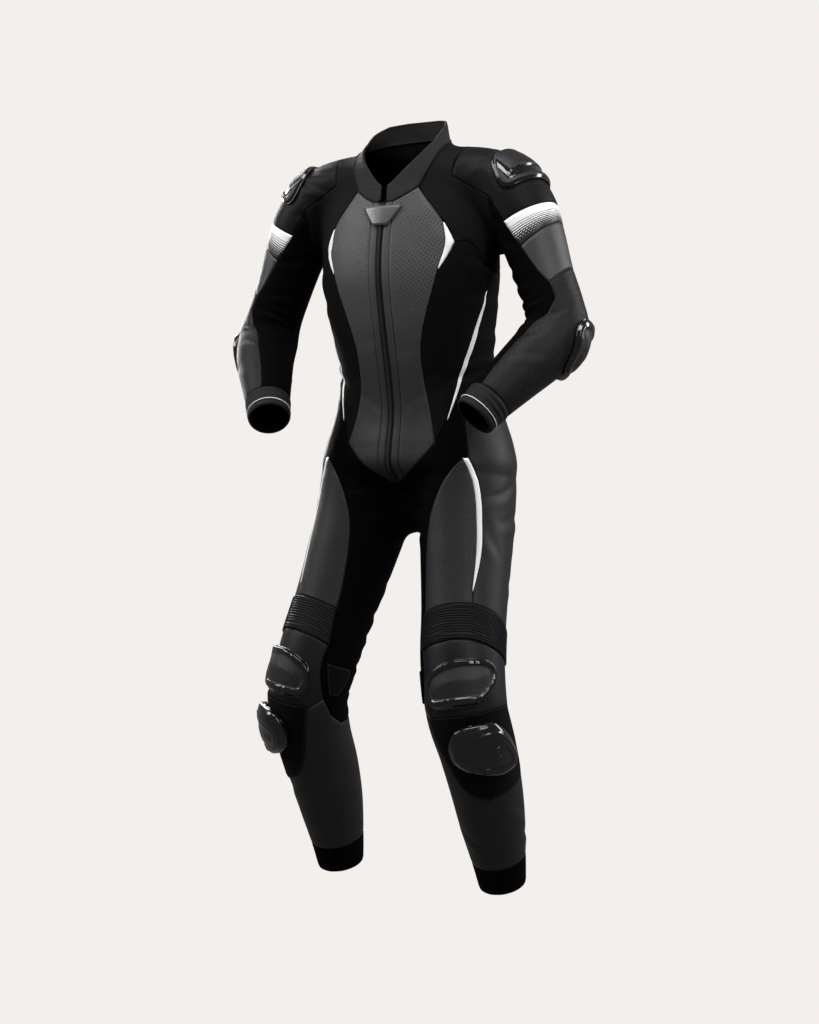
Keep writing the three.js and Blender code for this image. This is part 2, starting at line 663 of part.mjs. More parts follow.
piece("sleeve_inner", looks.stretch, fill([
  join(sleeveFront1, sleeveFront2, sleeveFront3, sleeveFront4),
  underGuide(armpitFront, -60),
  underGuide(armpitBack, -130),
  join(sleeveBack1, sleeveBack2, sleeveBack3, sleeveBack4),
], [2, 4, 3], join(armholeFront, armholeUnder, armholeBack), sleeveFoot));
const cuffTopRing = join(turned(sleeveFoot), forearmFoot);
const cuffHemRing = join(turned(underCuff(sleeveEnd)), cuffRun(sleeveEnd, -2, 190, 8));
const columnRails = (top, foot, cells, at) => at.map((j) => split([top[j], foot[j]], cells).map(settle));
const cuffColumns = [0, 3, 7, 9, 13, 17];
piece("cuff", looks.ribbedCloth, fill(columnRails(cuffTopRing, cuffHemRing, 2 * cuffRibs, cuffColumns),
  cuffColumns.slice(1).map((c, k) => c - cuffColumns[k]), cuffTopRing, cuffHemRing), {
  relief: (v, u, i) => (i % 2 && i > 0 ? cuffRibHeight : 0),
});

// Leg
const hipTop = join([zipEnd, placketOuter.at(-1)], hipRun, [hipFront, hipTip], [hipTip, hipSide]);
const legInnerOuter = join(
  hipOuter, [stripeTop, thighTop], thighInner, ribInner, kneeInner, shinTopInner,
);
const legInnerBack = join(crotch, thighBack, ribBack, kneeBack);
const innerGuideFront = seam([
  hipFront, onLeg(125, -18), near(58, -48, -620), onLeg(235, -62), onLeg(320, -84), onLeg(400, -103),
  onLeg(500, -122), shinTopBack[4],
], 26);
const innerGuideBack = seam([
  hipTop[2], near(28, -52, -590), near(14, -20, -640), near(22, 36, -668), onLeg(240, -128),
  onLeg(320, -150), onLeg(400, -169), onLeg(500, -176), shinTopBack[2],
], 26);
piece("leg_inner", looks.stretch, fill(
  [legInnerBack, innerGuideBack, innerGuideFront, legInnerOuter], [2, 2, 2], hipTop, shinTopBack,
));
piece("thigh_front", looks.greyLeather, fill(
  [thighInner, [...thighStripeFront, stripeFoot]],
  [3], split([thighTop, thighStripeFront[0]], 3), ribTop,
));
piece("thigh_stripe", looks.whiteLeather, fill([thighStripeFront, thighStripeBack], [1]));
const waistFine = split(waistSide, 2);
const thighGuide = seam([
  waistFine[3], onTrunk(480, 96), onLeg(110, 104), onLeg(220, 102), onLeg(310, 92), ribTopOuter[3],
], 15);
piece("thigh_outer", looks.greyLeather, fill([
  join(hipOuter, [...thighStripeBack, stripeFoot]),
  thighGuide,
  join(seatSeam, thighBack),
], [3, 3], waistFine, ribTopOuter));
const ribRail = (a, b, turn) => seamOn(leg, [
  spot(a, turn), spot((a + b) / 2, turn), spot(b, turn),
], 2 * kneeRibs);
const ribInnerFine = seamOn(leg, [spot(384, -34), spot(413, -37), spot(442, -40)], 2 * kneeRibs);
piece("knee_ribs", looks.darkLeather, fill(
  [ribInnerFine, ribRail(374, 433, 37), ribRail(402, 462, 125)],
  [3, 6], join(ribTop, ribTopOuter), join(ribLow, ribLowOuter),
), {
  relief: (v, u, i, j) => (i % 2 && j > 0 && j < 9 ? kneeRibHeight : 0),
});
const kneeMiddle = seamOn(leg, [spot(433, 37), spot(497, 37), spot(560, 37)], 4);
piece("knee_panel", looks.darkLeather, fill(
  [kneeInner, kneeMiddle, kneeBack],
  [3, 6], join(ribLow, ribLowOuter), join(kneeLow, kneeLowOuter),
));
const shinTop = join(shinTopBack, turned(shinTopInner), kneeLow, kneeLowOuter);
const ankleTop = legEnd - ankleLength;
const ankleRing = ringOf(ankleTop);
const shinRail = (j) => seam([
  shinTop[j],
  ...[650, 720, 780].map((down) => onLeg(down, shinTurn(j))),
  ankleRing[j],
], 6);
const shinColumns = [0, 3, 6, 8, 11, 14, 17];
const shinCells = shinColumns.slice(1).map((c, k) => c - shinColumns[k]);
piece("lower_leg", looks.darkLeather, fill(shinColumns.map(shinRail), shinCells, shinTop, ankleRing));
const hemRing = ringOf(legEnd);
piece("ankle_cuff", looks.ribbedCloth, fill(
  columnRails(ankleRing, hemRing, 2, shinColumns), shinCells, ankleRing, hemRing,
));

// Collar, flap and neck label
const collarSeam = join(neckPlacket, neckChest, neckYoke, neckBack);
const collarTurns = collarSeam.map((p) => (
  THREE.MathUtils.radToDeg(Math.atan2(p.x / 80, -(p.y + 10) / 85))));
const collarTop = collarTurns.map((turn) => roundNeck(collarEdge, turn, 68, 76));
const collarRows = [0, 1 / 3, 2 / 3, 1].map((v) => collarSeam.map((p, j) => {
  const q = p.clone().lerp(collarTop[j], v);
  return v === 0 ? q : settle(q);
}));
piece("collar", looks.collarCloth, both(collarRows), {
  base: -collarWall, thick: collarWall, pair: false,
});
const flapShape = [
  { z: -88, half: 37 },
  { z: -97, half: 32 },
  { z: -107, half: 25 },
  { z: -115, half: 19 },
  { z: -121, half: 13 },
];
const flapRows = flapShape.map(({ z, half }) => (
  [half, (2 * half) / 3, half / 3, 0].map((x) => front(x, z))));
piece("neck_flap", looks.flapLeather, both(flapRows), {
  base: layGap + 0.8, thick: 2.5, trim: 0, pair: false,
  relief: (v, u) => 1.6 * Math.sin(Math.PI * u),
});
const labelRows = [44, 37, 30].map((z) => [23, 11.5, 0].map((x) => cast(vec(x, 20, z), vec(0, 1, 0))));
piece("neck_label", looks.labelCloth, both(labelRows), {
  base: -wall - 5.4, thick: 1, trim: 0, pair: false,
});

// Hard parts and patches laid on the leather
const kneeCup = [
  { down: 464, from: 16, to: 60 },
  { down: 470, from: -4, to: 68 },
  { down: 480, from: -22, to: 73 },
  { down: 498, from: -29, to: 73 },
  { down: 514, from: -28, to: 62 },
  { down: 526, from: -20, to: 46 },
];
const rim = (v, u) => Math.min(v, 1 - v, u, 1 - u);
piece("knee_cup", looks.glossPlastic, laid(leg, kneeCup, 8, 8), {
  base: layGap + 0.6, thick: 3, trim: 0,
  relief: (v, u) => (rim(v, u) < 0.06 ? 0 : rim(v, u) < 0.18 ? 6 : 4),
});
const patchLift = layGap + 0.8;
const tapePatch = [
  { down: 533, from: -32, to: 96 },
  { down: 560, from: -29, to: 104 },
  { down: 600, from: -22, to: 108 },
  { down: 635, from: -12, to: 108 },
  { down: 660, from: 4, to: 104 },
  { down: 674, from: 26, to: 98 },
];
piece("slider_patch", looks.fleece, laid(leg, tapePatch, 8, 10), {
  base: patchLift, thick: patchWall, trim: 0,
});
const kneeSlider = [
  { down: 543, from: 12, to: 52 },
  { down: 551, from: -1, to: 63 },
  { down: 567, from: -6, to: 72 },
  { down: 586, from: -2, to: 77 },
  { down: 604, from: 11, to: 80 },
  { down: 618, from: 28, to: 80 },
  { down: 628, from: 46, to: 74 },
];
piece("knee_slider", looks.glossPlastic, laid(leg, kneeSlider, 8, 8), {
  base: patchLift + patchWall + layGap + 0.5, thick: 8, trim: 0,
  relief: (v, u) => 17 * Math.sqrt(Math.max(0, Math.sin(Math.PI * v) * Math.sin(Math.PI * u))),
});
const kneePatch = [
  { down: 470, from: -88, to: -44 },
  { down: 492, from: -92, to: -50 },
  { down: 518, from: -76, to: -60 },
];
piece("knee_patch", looks.fleece, laid(leg, kneePatch, 3, 3), {
  base: layGap, thick: patchWall, trim: 0,
});
const shoulderCap = [
  { down: 168, from: 40, to: 144 },
  { down: 178, from: 24, to: 156 },
  { down: 198, from: 14, to: 162 },
  { down: 214, from: 11, to: 162 },
  { down: 225, from: 16, to: 154 },
];
piece("shoulder_cap", looks.mattPlastic, laid(sleeve, shoulderCap, 5, 10), {
  base: layGap + 0.5, thick: 3, trim: 0,
  relief: (v, u) => (rim(v, u) < 0.05 ? 0 : v > 0.75 ? 2 : 4.5),
});
const elbowCap = [
  { down: 454, from: 86, to: 150 },
  { down: 462, from: 70, to: 168 },
  { down: 480, from: 68, to: 176 },
  { down: 496, from: 88, to: 178 },
  { down: 511, from: 98, to: 176 },
  { down: 523, from: 108, to: 164 },
];
piece("elbow_cap", looks.glossPlastic, laid(sleeve, elbowCap, 7, 8), {
  base: layGap + 0.5, thick: 3, trim: 0,
  relief: (v, u) => (rim(v, u) < 0.05 ? 0 : rim(v, u) < 0.2 ? 5 : 6.5),
});

export default group;
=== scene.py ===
# %% [markdown]
# A one-piece motorcycle race suit, filled out as it is worn. Every solid of the suit comes in as a fixed
# frame; each panel of leather or stretch cloth is then made again as a fine thin shell on that solid's own
# form, with folds, stitches and a finish. The frame could also be shown as it is, but its faces are
# 15 to 30 mm wide, which is too coarse for soft leather.

# %% Load the frame
import math
import bpy
import numpy as np
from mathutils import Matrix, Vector


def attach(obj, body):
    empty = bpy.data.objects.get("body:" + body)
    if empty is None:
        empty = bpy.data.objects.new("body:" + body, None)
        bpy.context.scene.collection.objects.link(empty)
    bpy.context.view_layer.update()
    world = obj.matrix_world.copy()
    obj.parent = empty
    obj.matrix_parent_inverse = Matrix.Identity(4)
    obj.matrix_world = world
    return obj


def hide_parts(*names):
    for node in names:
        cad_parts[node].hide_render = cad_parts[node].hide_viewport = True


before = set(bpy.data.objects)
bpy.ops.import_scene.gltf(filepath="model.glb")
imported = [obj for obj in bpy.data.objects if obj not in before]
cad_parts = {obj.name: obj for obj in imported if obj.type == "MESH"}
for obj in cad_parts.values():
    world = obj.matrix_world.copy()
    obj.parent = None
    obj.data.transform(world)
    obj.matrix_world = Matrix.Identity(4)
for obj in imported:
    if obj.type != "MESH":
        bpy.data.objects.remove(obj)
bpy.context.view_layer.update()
print("solids in the frame:", len(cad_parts))

# %% [markdown]
# The form under the panels is a body without a body: four tubes, for trunk, neck, sleeve and leg, that run
# softly into each other. A sculpted mesh would do as well, but tubes can be asked two useful things: how far
# a point lies outside the suit, and where a point is in tailor's terms, so many millimetres down the tube and
# so many degrees round it. Lengths here are in millimetres; meshes are turned into metres when they are made.

# %% Rings of the worn form: x, y, z of the middle, half width across, half depth front to back
TRUNK_RINGS = [
    (0, 6, 30, 60, 62), (0, 0, -10, 92, 74), (0, 1, -60, 142, 90), (0, 1, -120, 164, 107),
    (0, 3, -190, 168, 118), (0, 9, -250, 162, 115), (0, 20, -320, 151, 110), (0, 32, -400, 141, 104),
    (0, 38, -450, 147, 108), (0, 40, -500, 166, 118), (0, 38, -545, 166, 116), (0, 34, -586, 100, 72),
]
NECK_RINGS = [
    (0, -9, 120, 66, 74), (0, -9, 60, 67, 75), (0, -9, 20, 68, 76), (0, -9, -20, 69, 77),
    (0, -6, -60, 68, 76), (0, 4, -120, 60, 70),
]
SLEEVE_RINGS = [
    (0, 12, -36, 46, 62), (60, 12, -28, 48, 68), (122, 12, -32, 52, 72), (178, 10, -54, 58, 70),
    (217, 6, -96, 58, 66), (240, 2, -150, 54, 60), (261, -1, -210, 50, 54), (281, -4, -264, 50, 53),
    (289, -13, -306, 55, 54), (276, -44, -340, 53, 53), (249, -84, -380, 47, 47), (221, -122, -421, 40, 40),
    (200, -150, -453, 36, 36),
]
LEG_RINGS = [
    (88, 40, -440, 60, 90), (98, 36, -540, 80, 104), (105, 22, -620, 81, 102), (116, -6, -700, 77, 92),
    (130, -42, -790, 73, 80), (143, -74, -870, 72, 76), (158, -88, -950, 69, 75), (164, -61, -1020, 65, 70),
    (165, -26, -1090, 62, 69), (165, 2, -1160, 57, 63), (166, 26, -1230, 48, 52), (167, 40, -1279, 42, 45),
]
STATIONS_PER_RING = 6
SOFT_BLEND = 34
NEAR_MIDDLE = 1
RAY_STEP = 4
HALVINGS = 12
FRONTWARD = np.array([0.0, -1.0, 0.0])


# %% A tube through its rings
def unit(vectors):
    return vectors / np.maximum(np.linalg.norm(vectors, axis=-1, keepdims=True), 1e-9)


class Tube:
    """Close stations along a run of rings, each with its own front and outer direction."""

    def __init__(self, rings):
        rows = np.array(rings, float)
        wide = np.vstack([2 * rows[0] - rows[1], rows, 2 * rows[-1] - rows[-2]])
        at = np.arange((len(rows) - 1) * STATIONS_PER_RING + 1) / STATIONS_PER_RING
        first = np.minimum(at.astype(int), len(rows) - 2)
        t = (at - first)[:, None]
        a, b, c, d = (wide[first + k] for k in range(4))
        bend = (2 * a - 5 * b + 4 * c - d) * t**2 + (3 * b - a - 3 * c + d) * t**3
        smooth = b + ((c - a) * t + bend) / 2
        self.centre = smooth[:, :3]
        self.wide = smooth[:, 3]
        self.deep = smooth[:, 4]
        self.step = np.diff(self.centre, axis=0)
        self.along = np.concatenate([[0], np.cumsum(np.linalg.norm(self.step, axis=1))])
        before = self.centre[np.maximum(np.arange(len(at)) - 1, 0)]
        after = self.centre[np.minimum(np.arange(len(at)) + 1, len(at) - 1)]
        ahead = FRONTWARD
        fronts = []
        for tangent in unit(after - before):
            ahead = unit(ahead - ahead.dot(tangent) * tangent)
            fronts.append(ahead)
        self.ahead = np.array(fronts)
        self.outer = np.cross(self.ahead, unit(after - before))

    def nearest(self, p):
        """The nearest station of each point."""
        return (-2 * p @ self.centre.T + (self.centre**2).sum(1)).argmin(1)

    def beside(self, p, station):
        """Where each point lies beside its segment: segment, share along it, offset from the middle line."""
        best = None
        for shift in (-1, 0):
            k = np.clip(station + shift, 0, len(self.step) - 1)
            u = self.step[k]
            v = p - self.centre[k]
            share = np.clip((u * v).sum(1) / (u * u).sum(1), 0, 1)
            offset = v - share[:, None] * u
            away = (offset**2).sum(1)
            if best is None:
                best = [k, share, offset, away]
                continue
            nearer = away < best[3]
            for slot, value in enumerate((k, share, offset, away)):
                mask = nearer[:, None] if value.ndim == 2 else nearer
                best[slot] = np.where(mask, value, best[slot])
        return best[0], best[1], best[2]

    def mixed(self, values, k, share):
        if values.ndim == 2:
            share = share[:, None]
        return values[k] + share * (values[k + 1] - values[k])

    def sides(self, p, station):
        k, share, offset = self.beside(p, station)
        side = (1 - share) * (offset * self.outer[k]).sum(1) + share * (offset * self.outer[k + 1]).sum(1)
        fore = (1 - share) * (offset * self.ahead[k]).sum(1) + share * (offset * self.ahead[k + 1]).sum(1)
        return k, share, offset, side, fore

    def outside(self, p, station):
        """How far each point lies outside the tube."""
        k, share, offset, side, fore = self.sides(p, station)
        size = np.maximum(np.linalg.norm(offset, axis=1), 1e-6)
        wide = self.mixed(self.wide, k, share)
        deep = self.mixed(self.deep, k, share)
        side, fore = side / size, fore / size
        lift = np.sqrt(np.maximum(0, 1 - side**2 - fore**2))
        reach = np.sqrt((side / wide) ** 2 + (fore / deep) ** 2 + (lift / np.minimum(wide, deep)) ** 2)
        return size - 1 / reach

    def chart(self, p):
        """Millimetres down the tube and degrees round it, from the front outwards."""
        k, share, _, side, fore = self.sides(p, self.nearest(p))
        return self.mixed(self.along, k, share), np.degrees(np.arctan2(side, fore))


trunk, neck, sleeve, leg = (Tube(r) for r in (TRUNK_RINGS, NECK_RINGS, SLEEVE_RINGS, LEG_RINGS))
TUBES = (trunk, neck, sleeve, leg)
print("sleeve and leg length, mm:", round(sleeve.along[-1]), round(leg.along[-1]))


# %% Distance from the worn form, and the nearest place on it
def one_side(p):
    return np.column_stack([np.abs(p[:, 0]), p[:, 1], p[:, 2]])


def stations(p):
    q = one_side(p)
    return [tube.nearest(q) for tube in TUBES]


def distance(p, at=None):
    at = at or stations(p)
    q = one_side(p)
    total = None
    for tube, k in zip(TUBES, at):
        away = tube.outside(q, k)
        if total is None:
            total = away
            continue
        h = np.maximum(SOFT_BLEND - np.abs(total - away), 0) / SOFT_BLEND
        total = np.minimum(total, away) - h * h * SOFT_BLEND / 4
    return total


def slope(p, at=None):
    at = at or stations(p)
    half = 0.5
    columns = [distance(p + half * axis, at) - distance(p - half * axis, at) for axis in np.eye(3)]
    return np.column_stack(columns) / (2 * half)


def normal(p):
    g = slope(p)
    g[np.abs(p[:, 0]) < NEAR_MIDDLE, 0] = 0
    return unit(g)


def settle(p, rounds=3):
    """The nearest place on the form."""
    at = stations(p)
    q = p.copy()
    for _ in range(rounds):
        g = slope(q, at)
        q = q - (distance(q, at) / np.maximum((g * g).sum(1), 0.2))[:, None] * g
    return q


def cast(start, direction):
    """Where rays from inside leave the form."""
    far = np.zeros(len(start))
    inside = np.ones(len(start), bool)
    while inside.any():
        far[inside] += RAY_STEP
        inside = inside & (distance(start + far[:, None] * direction) < 0)
    near = far - RAY_STEP
    for _ in range(HALVINGS):
        middle = (near + far) / 2
        within = distance(start + middle[:, None] * direction) < 0
        near = np.where(within, middle, near)
        far = np.where(within, far, middle)
    return start + far[:, None] * direction


def on(tube, down, turn):
    """Places on the form beside a tube, from arrays of millimetres down and degrees round."""
    down, turn = np.broadcast_arrays(np.asarray(down, float), np.asarray(turn, float))
    k = np.clip(np.searchsorted(tube.along, down) - 1, 0, len(tube.step) - 1)
    share = np.clip((down - tube.along[k]) / (tube.along[k + 1] - tube.along[k]), 0, 1)
    angle = np.radians(turn)[:, None]
    ahead, outer = tube.mixed(tube.ahead, k, share), tube.mixed(tube.outer, k, share)
    direction = np.cos(angle) * ahead + np.sin(angle) * outer
    return cast(tube.mixed(tube.centre, k, share), unit(direction))


def front(x, z):
    x, z = np.broadcast_arrays(np.asarray(x, float), np.asarray(z, float))
    start = np.column_stack([x, np.full(len(x), 20.0), z])
    return cast(start, np.broadcast_to(FRONTWARD, start.shape))


print("chest is", round(float(-front([0.0], [-190.0])[0, 1])), "mm in front of the middle plane")

# %% [markdown]
# Finishes. Leather, stretch cloth and moulded plastic differ in three things: colour, how sharp their
# highlights are, and their fine relief. Each finish is a Principled shader whose relief is a height in
# millimetres, worked out as a Python expression from a few textures and sent through one Bump node. Image
# textures would also work, but a formula has no edges, needs no unwrapping and stays sharp close up.


# %% Shader maths as expressions
class Wire:
    """An output socket that understands + - * / ** and <."""

    def __init__(self, finish, socket):
        self.finish = finish
        self.socket = socket

    def maths(self, operation, first, second=0.0):
        return self.finish.node("ShaderNodeMath", {"operation": operation}, {0: first, 1: second})

    def __add__(self, other):
        return self.maths("ADD", self, other)

    def __sub__(self, other):
        return self.maths("SUBTRACT", self, other)

    def __rsub__(self, other):
        return self.maths("SUBTRACT", other, self)

    def __mul__(self, other):
        return self.maths("MULTIPLY", self, other)

    def __truediv__(self, other):
        return self.maths("DIVIDE", self, other)

    def __pow__(self, other):
        return self.maths("POWER", self, other)

    def __lt__(self, other):
        return self.maths("LESS_THAN", self, other)

    __radd__ = __add__
    __rmul__ = __mul__

    def fraction(self):
        return self.maths("FRACT", self)

    def whole(self):
        return self.maths("FLOOR", self)

    def sine(self):
        return self.maths("SINE", self)

    def size(self):
        return self.maths("ABSOLUTE", self)

    def low(self, other):
        return self.maths("MINIMUM", self, other)

    def high(self, other):
        return self.maths("MAXIMUM", self, other)

    def ramp(self, start, end):
        """0 below start, 1 above end, soft in between."""
        return self.finish.node(
            "ShaderNodeMapRange", {"interpolation_type": "SMOOTHSTEP"},
            {"Value": self, "From Min": start, "From Max": end},
        )


class Finish:
    """A material with a Principled shader, built from a few named textures."""

    def __init__(self, name, colour, roughness, **constants):
        self.material = bpy.data.materials.new(name)
        self.material.use_nodes = True
        self.tree = self.material.node_tree
        self.shader = self.tree.nodes["Principled BSDF"]
        self.material.diffuse_color = (*colour, 1)
        self.feed("Base Color", (*colour, 1))
        self.feed("Roughness", roughness)
        for socket, value in constants.items():
            self.feed(socket.replace("_", " ").title().replace("Ior", "IOR"), value)

    def node(self, kind, settings=None, values=None, output=0):
        made = self.tree.nodes.new(kind)
        for setting, value in (settings or {}).items():
            setattr(made, setting, value)
        for socket, value in (values or {}).items():
            self.plug(made.inputs[socket], value)
        return Wire(self, made.outputs[output])

    def plug(self, socket, value):
        if isinstance(value, Wire):
            self.tree.links.new(value.socket, socket)
        else:
            socket.default_value = value

    def feed(self, socket, value):
        self.plug(self.shader.inputs[socket], value)

    def place(self):
        """The point on the object, in metres."""
        return self.node("ShaderNodeTexCoord", output="Object")

    def cut(self):
        """Millimetres across and down the flat cut of the panel."""
        uv = self.node("ShaderNodeUVMap", {"uv_map": "cut"})
        return [self.node("ShaderNodeSeparateXYZ", None, {0: uv}, k) * 1000.0 for k in (0, 1)]

    def held(self, name):
        """A number kept at every point of the mesh."""
        return self.node("ShaderNodeAttribute", {"attribute_name": name}, output="Fac")

    def noise(self, size_mm, detail=2.0):
        values = {"Vector": self.place(), "Scale": 1000.0 / size_mm, "Detail": detail}
        return self.node("ShaderNodeTexNoise", None, values, "Fac")

    def cells(self, size_mm, feature="DISTANCE_TO_EDGE"):
        values = {"Vector": self.place(), "Scale": 1000.0 / size_mm}
        return self.node("ShaderNodeTexVoronoi", {"feature": feature}, values, "Distance")

    def blend(self, factor, below, above):
        """One colour over another."""
        below, above = ((*c, 1) if isinstance(c, tuple) else c for c in (below, above))
        return self.node("ShaderNodeMix", {"data_type": "RGBA"}, {0: factor, 6: below, 7: above}, 2)

    def relief(self, height_mm):
        values = {"Height": height_mm, "Distance": 0.001, "Strength": 1.0}
        self.feed("Normal", self.node("ShaderNodeBump", None, values, "Normal"))


def shade(colour, factor):
    return tuple(min(1.0, c * factor) for c in colour)


# %% Leather
def grain(finish, size=1.5, depth=0.09):
    """Pebbled leather grain: small cells with soft valleys, uneven in depth."""
    pebbles = finish.cells(size).ramp(0.0, 0.35)
    patches = finish.noise(26, 3.0)
    return pebbles * depth * (0.6 + patches * 0.8)


def seam_dip(finish, width=3.4, depth=0.8):
    """Leather rolls down into the seam at a panel's edge."""
    return finish.held("edge").ramp(0.0, width) * depth


def wear_and_edge_highlight(finish, colour, lighter=1.5):
    """Edges of a panel painted paler, partly as a painted highlight where they catch light and partly as
    rubbing, with slow patches over the rest.
    """
    patches = finish.noise(60, 4.0)
    # Painted highlight and rubbing: a panel's edges are painted paler.
    edge = 1.0 - finish.held("edge").ramp(0.5, 7.0)
    mask = (edge * 0.45 + (patches - 0.45) * 0.9).high(0.0).low(1.0)
    return finish.blend(mask, colour, shade(colour, lighter))


def holes(finish, pitch, radius, slant=0.0):
    """A mask of punched holes in rows on the flat cut, slanting alike left and right of its middle."""
    across, down = finish.cut()
    across = across.size()
    a = ((across * math.cos(slant) + down * math.sin(slant)) / pitch).fraction() - 0.5
    b = ((down * math.cos(slant) - across * math.sin(slant)) / pitch).fraction() - 0.5
    return 1.0 - ((a * a + b * b) ** 0.5).ramp(radius * 0.8, radius * 1.2)


# Millimetres down the cut over which painted shade darkens the leather from the chest to the waist.
PAINTED_SHADE_CHEST_TO_WAIST = (210.0, 470.0)
HOLE_DEPTH = 0.5


def leather(name, colour, roughness, punched=None, pebbles=(1.5, 0.09), coat=0.0, shine=0.4, painted_shade_at_waist=None):
    """Leather of one colour; where a share is given, it is painted darker from the chest down to the waist,
    to that share of its colour, as painted shade.
    """
    finish = Finish(name, colour, roughness, specular_ior_level=shine, coat_weight=coat, coat_roughness=0.25)
    height = grain(finish, *pebbles) + seam_dip(finish)
    # Edges painted paler: painted highlight and rubbing.
    tint = wear_and_edge_highlight(finish, colour)
    # Painted shade: the colour is painted darker towards the waist, where the body turns away from the light.
    if painted_shade_at_waist:
        tint = finish.blend(finish.cut()[1].ramp(*PAINTED_SHADE_CHEST_TO_WAIST), tint, shade(colour, painted_shade_at_waist))
    if punched:
        mask = holes(finish, *punched)
        height = height - mask * HOLE_DEPTH
        # Painted shade: the punched holes are painted dark, for the shade inside them and the dark lining
        # behind.
        tint = finish.blend(mask * 0.85, tint, shade(colour, 0.12))
    finish.feed("Base Color", tint)
    finish.feed("Roughness", finish.noise(18, 3.0) * 0.16 + (roughness - 0.08))
    finish.relief(height)
    return finish.material


SLANTING_HOLES = (5.2, 0.22, 0.62)
SLEEVE_HOLES = (4.2, 0.22)
HIP_HOLES = (3.4, 0.2)
PATCH_HOLES = (5.0, 0.2)
COARSE = (2.6, 0.16)
# Chest and placket leather carry painted shade that darkens them towards the waist.
chest_leather = leather("chest_leather", (0.060, 0.060, 0.063), 0.46, SLANTING_HOLES, shine=0.2, painted_shade_at_waist=0.4)
smooth_leather = leather("smooth_leather", (0.006, 0.006, 0.0065), 0.42, shine=0.16)
rib_leather = leather("rib_leather", (0.0065, 0.0065, 0.007), 0.5, shine=0.1)
placket_leather = leather("placket_leather", (0.044, 0.044, 0.047), 0.46, shine=0.2, painted_shade_at_waist=0.45)
patch_leather = leather("patch_leather", (0.003, 0.003, 0.0034), 0.6, PATCH_HOLES, shine=0.06)
grained_leather = leather("grained_leather", (0.012, 0.012, 0.013), 0.5, pebbles=COARSE, shine=0.13)
hip_leather = leather("hip_leather", (0.017, 0.017, 0.018), 0.46, HIP_HOLES, shine=0.18)
punched_leather = leather("punched_leather", (0.0085, 0.0085, 0.009), 0.46, SLEEVE_HOLES, shine=0.12)
shoulder_leather = leather("shoulder_leather", (0.0045, 0.0045, 0.005), 0.48, pebbles=COARSE, shine=0.08)
arm_leather = leather("arm_leather", (0.034, 0.034, 0.036), 0.46, shine=0.3)
thigh_leather = leather("thigh_leather", (0.011, 0.011, 0.012), 0.44, shine=0.17)
shin_leather = leather("shin_leather", (0.0105, 0.0105, 0.011), 0.5, shine=0.17)
white_leather = leather("white_leather", (0.76, 0.76, 0.76), 0.45, pebbles=(1.5, 0.05))
flap_leather = leather("flap_leather", (0.07, 0.07, 0.075), 0.26, coat=0.3)
piping_leather = leather("piping_leather", (0.004, 0.004, 0.0044), 0.5, shine=0.08)
print("leathers:", len([m for m in bpy.data.materials if "leather" in m.name]))


# %% Stretch cloth, fleece, label
def woven(name, colour, pitch=1.1, depth=0.12, roughness=0.78, shine=0.06):
    """Fine woven stretch: two crossing sets of threads, and lint that breaks up the black."""
    finish = Finish(name, colour, roughness, specular_ior_level=shine)
    across, down = finish.cut()
    warp = (across * (2 * math.pi / pitch)).sine()
    weft = (down * (2 * math.pi / pitch)).sine()
    lint = finish.noise(9, 5.0)
    finish.feed("Base Color", finish.blend((lint - 0.4).high(0.0) * 1.6, colour, shade(colour, 2.0)))
    finish.feed("Roughness", lint * 0.2 + (roughness - 0.1))
    finish.relief(warp * weft * depth + finish.noise(3, 2.0) * 0.08 + seam_dip(finish, 2.4, 0.5))
    return finish.material


def pile(name, colour):
    """Short loop pile, which drinks the light; its loops are painted paler on top and darker in the hollows
    between them, as painted shade.
    """
    finish = Finish(name, colour, 0.95, sheen_weight=0.02, sheen_roughness=0.6, specular_ior_level=0.05)
    loops = finish.cells(1.6, "F1")
    # Painted shade: paler on the raised loops, darker in the hollows between them.
    finish.feed("Base Color", finish.blend(loops.ramp(0.1, 0.7), shade(colour, 2.2), colour))
    finish.relief(loops * -0.7 + finish.noise(5, 4.0) * 0.3)
    return finish.material


stretch_cloth = woven("stretch_cloth", (0.0007, 0.0007, 0.0008), shine=0.03)
yoke_cloth = woven("yoke_cloth", (0.0018, 0.0018, 0.002), roughness=0.6, shine=0.08)
mesh_cloth = woven("mesh_cloth", (0.002, 0.002, 0.0022), pitch=2.4, depth=0.3, shine=0.06)
ribbed_cloth = woven("ribbed_cloth", (0.007, 0.007, 0.0075), pitch=1.4, roughness=0.6, shine=0.16)
lining_cloth = woven("lining_cloth", (0.0012, 0.0012, 0.0014), pitch=2.0)
collar_cloth = woven("collar_cloth", (0.009, 0.009, 0.0098), pitch=1.0, roughness=0.6, shine=0.16)
tape_cloth = woven("tape_cloth", (0.005, 0.005, 0.0055), pitch=0.9, shine=0.1)
label_cloth = woven("label_cloth", (0.03, 0.03, 0.032), pitch=0.8, roughness=0.55, shine=0.2)
fleece = pile("fleece", (0.0006, 0.0006, 0.0007))


# %% The band that fades from white to dark in thin broken lines
PRINTED_ROWS = 13
DASH_PITCH = 5.2


def fading_band(name):
    """Solid white at the top, then rows of dashes that grow thinner, each half a dash further on."""
    finish = Finish(name, (0.8, 0.8, 0.8), 0.44, specular_ior_level=0.3)
    across, _ = finish.cut()
    share = finish.held("share")
    row = share * PRINTED_ROWS
    line = row.fraction()
    dash = (across / DASH_PITCH + row.whole() * 0.5).fraction()
    weight = 1.12 - share * 1.25
    printed = ((line - 0.5).size() < weight * 0.5) * ((dash - 0.5).size() < (weight * 0.75 + 0.12))
    white = (share < 0.27).high(printed) * (share < 0.97)
    grey = finish.noise(40, 3.0) * 0.008 + 0.012
    dark = finish.node("ShaderNodeCombineColor", None, {0: grey, 1: grey, 2: grey})
    finish.feed("Base Color", finish.blend(white, dark, (0.78, 0.78, 0.78)))
    finish.feed("Roughness", finish.noise(20, 3.0) * 0.15 + 0.36)
    finish.relief(grain(finish, 1.5, 0.06) + seam_dip(finish) + white * 0.05)
    return finish.material


band_print = fading_band("band_print")


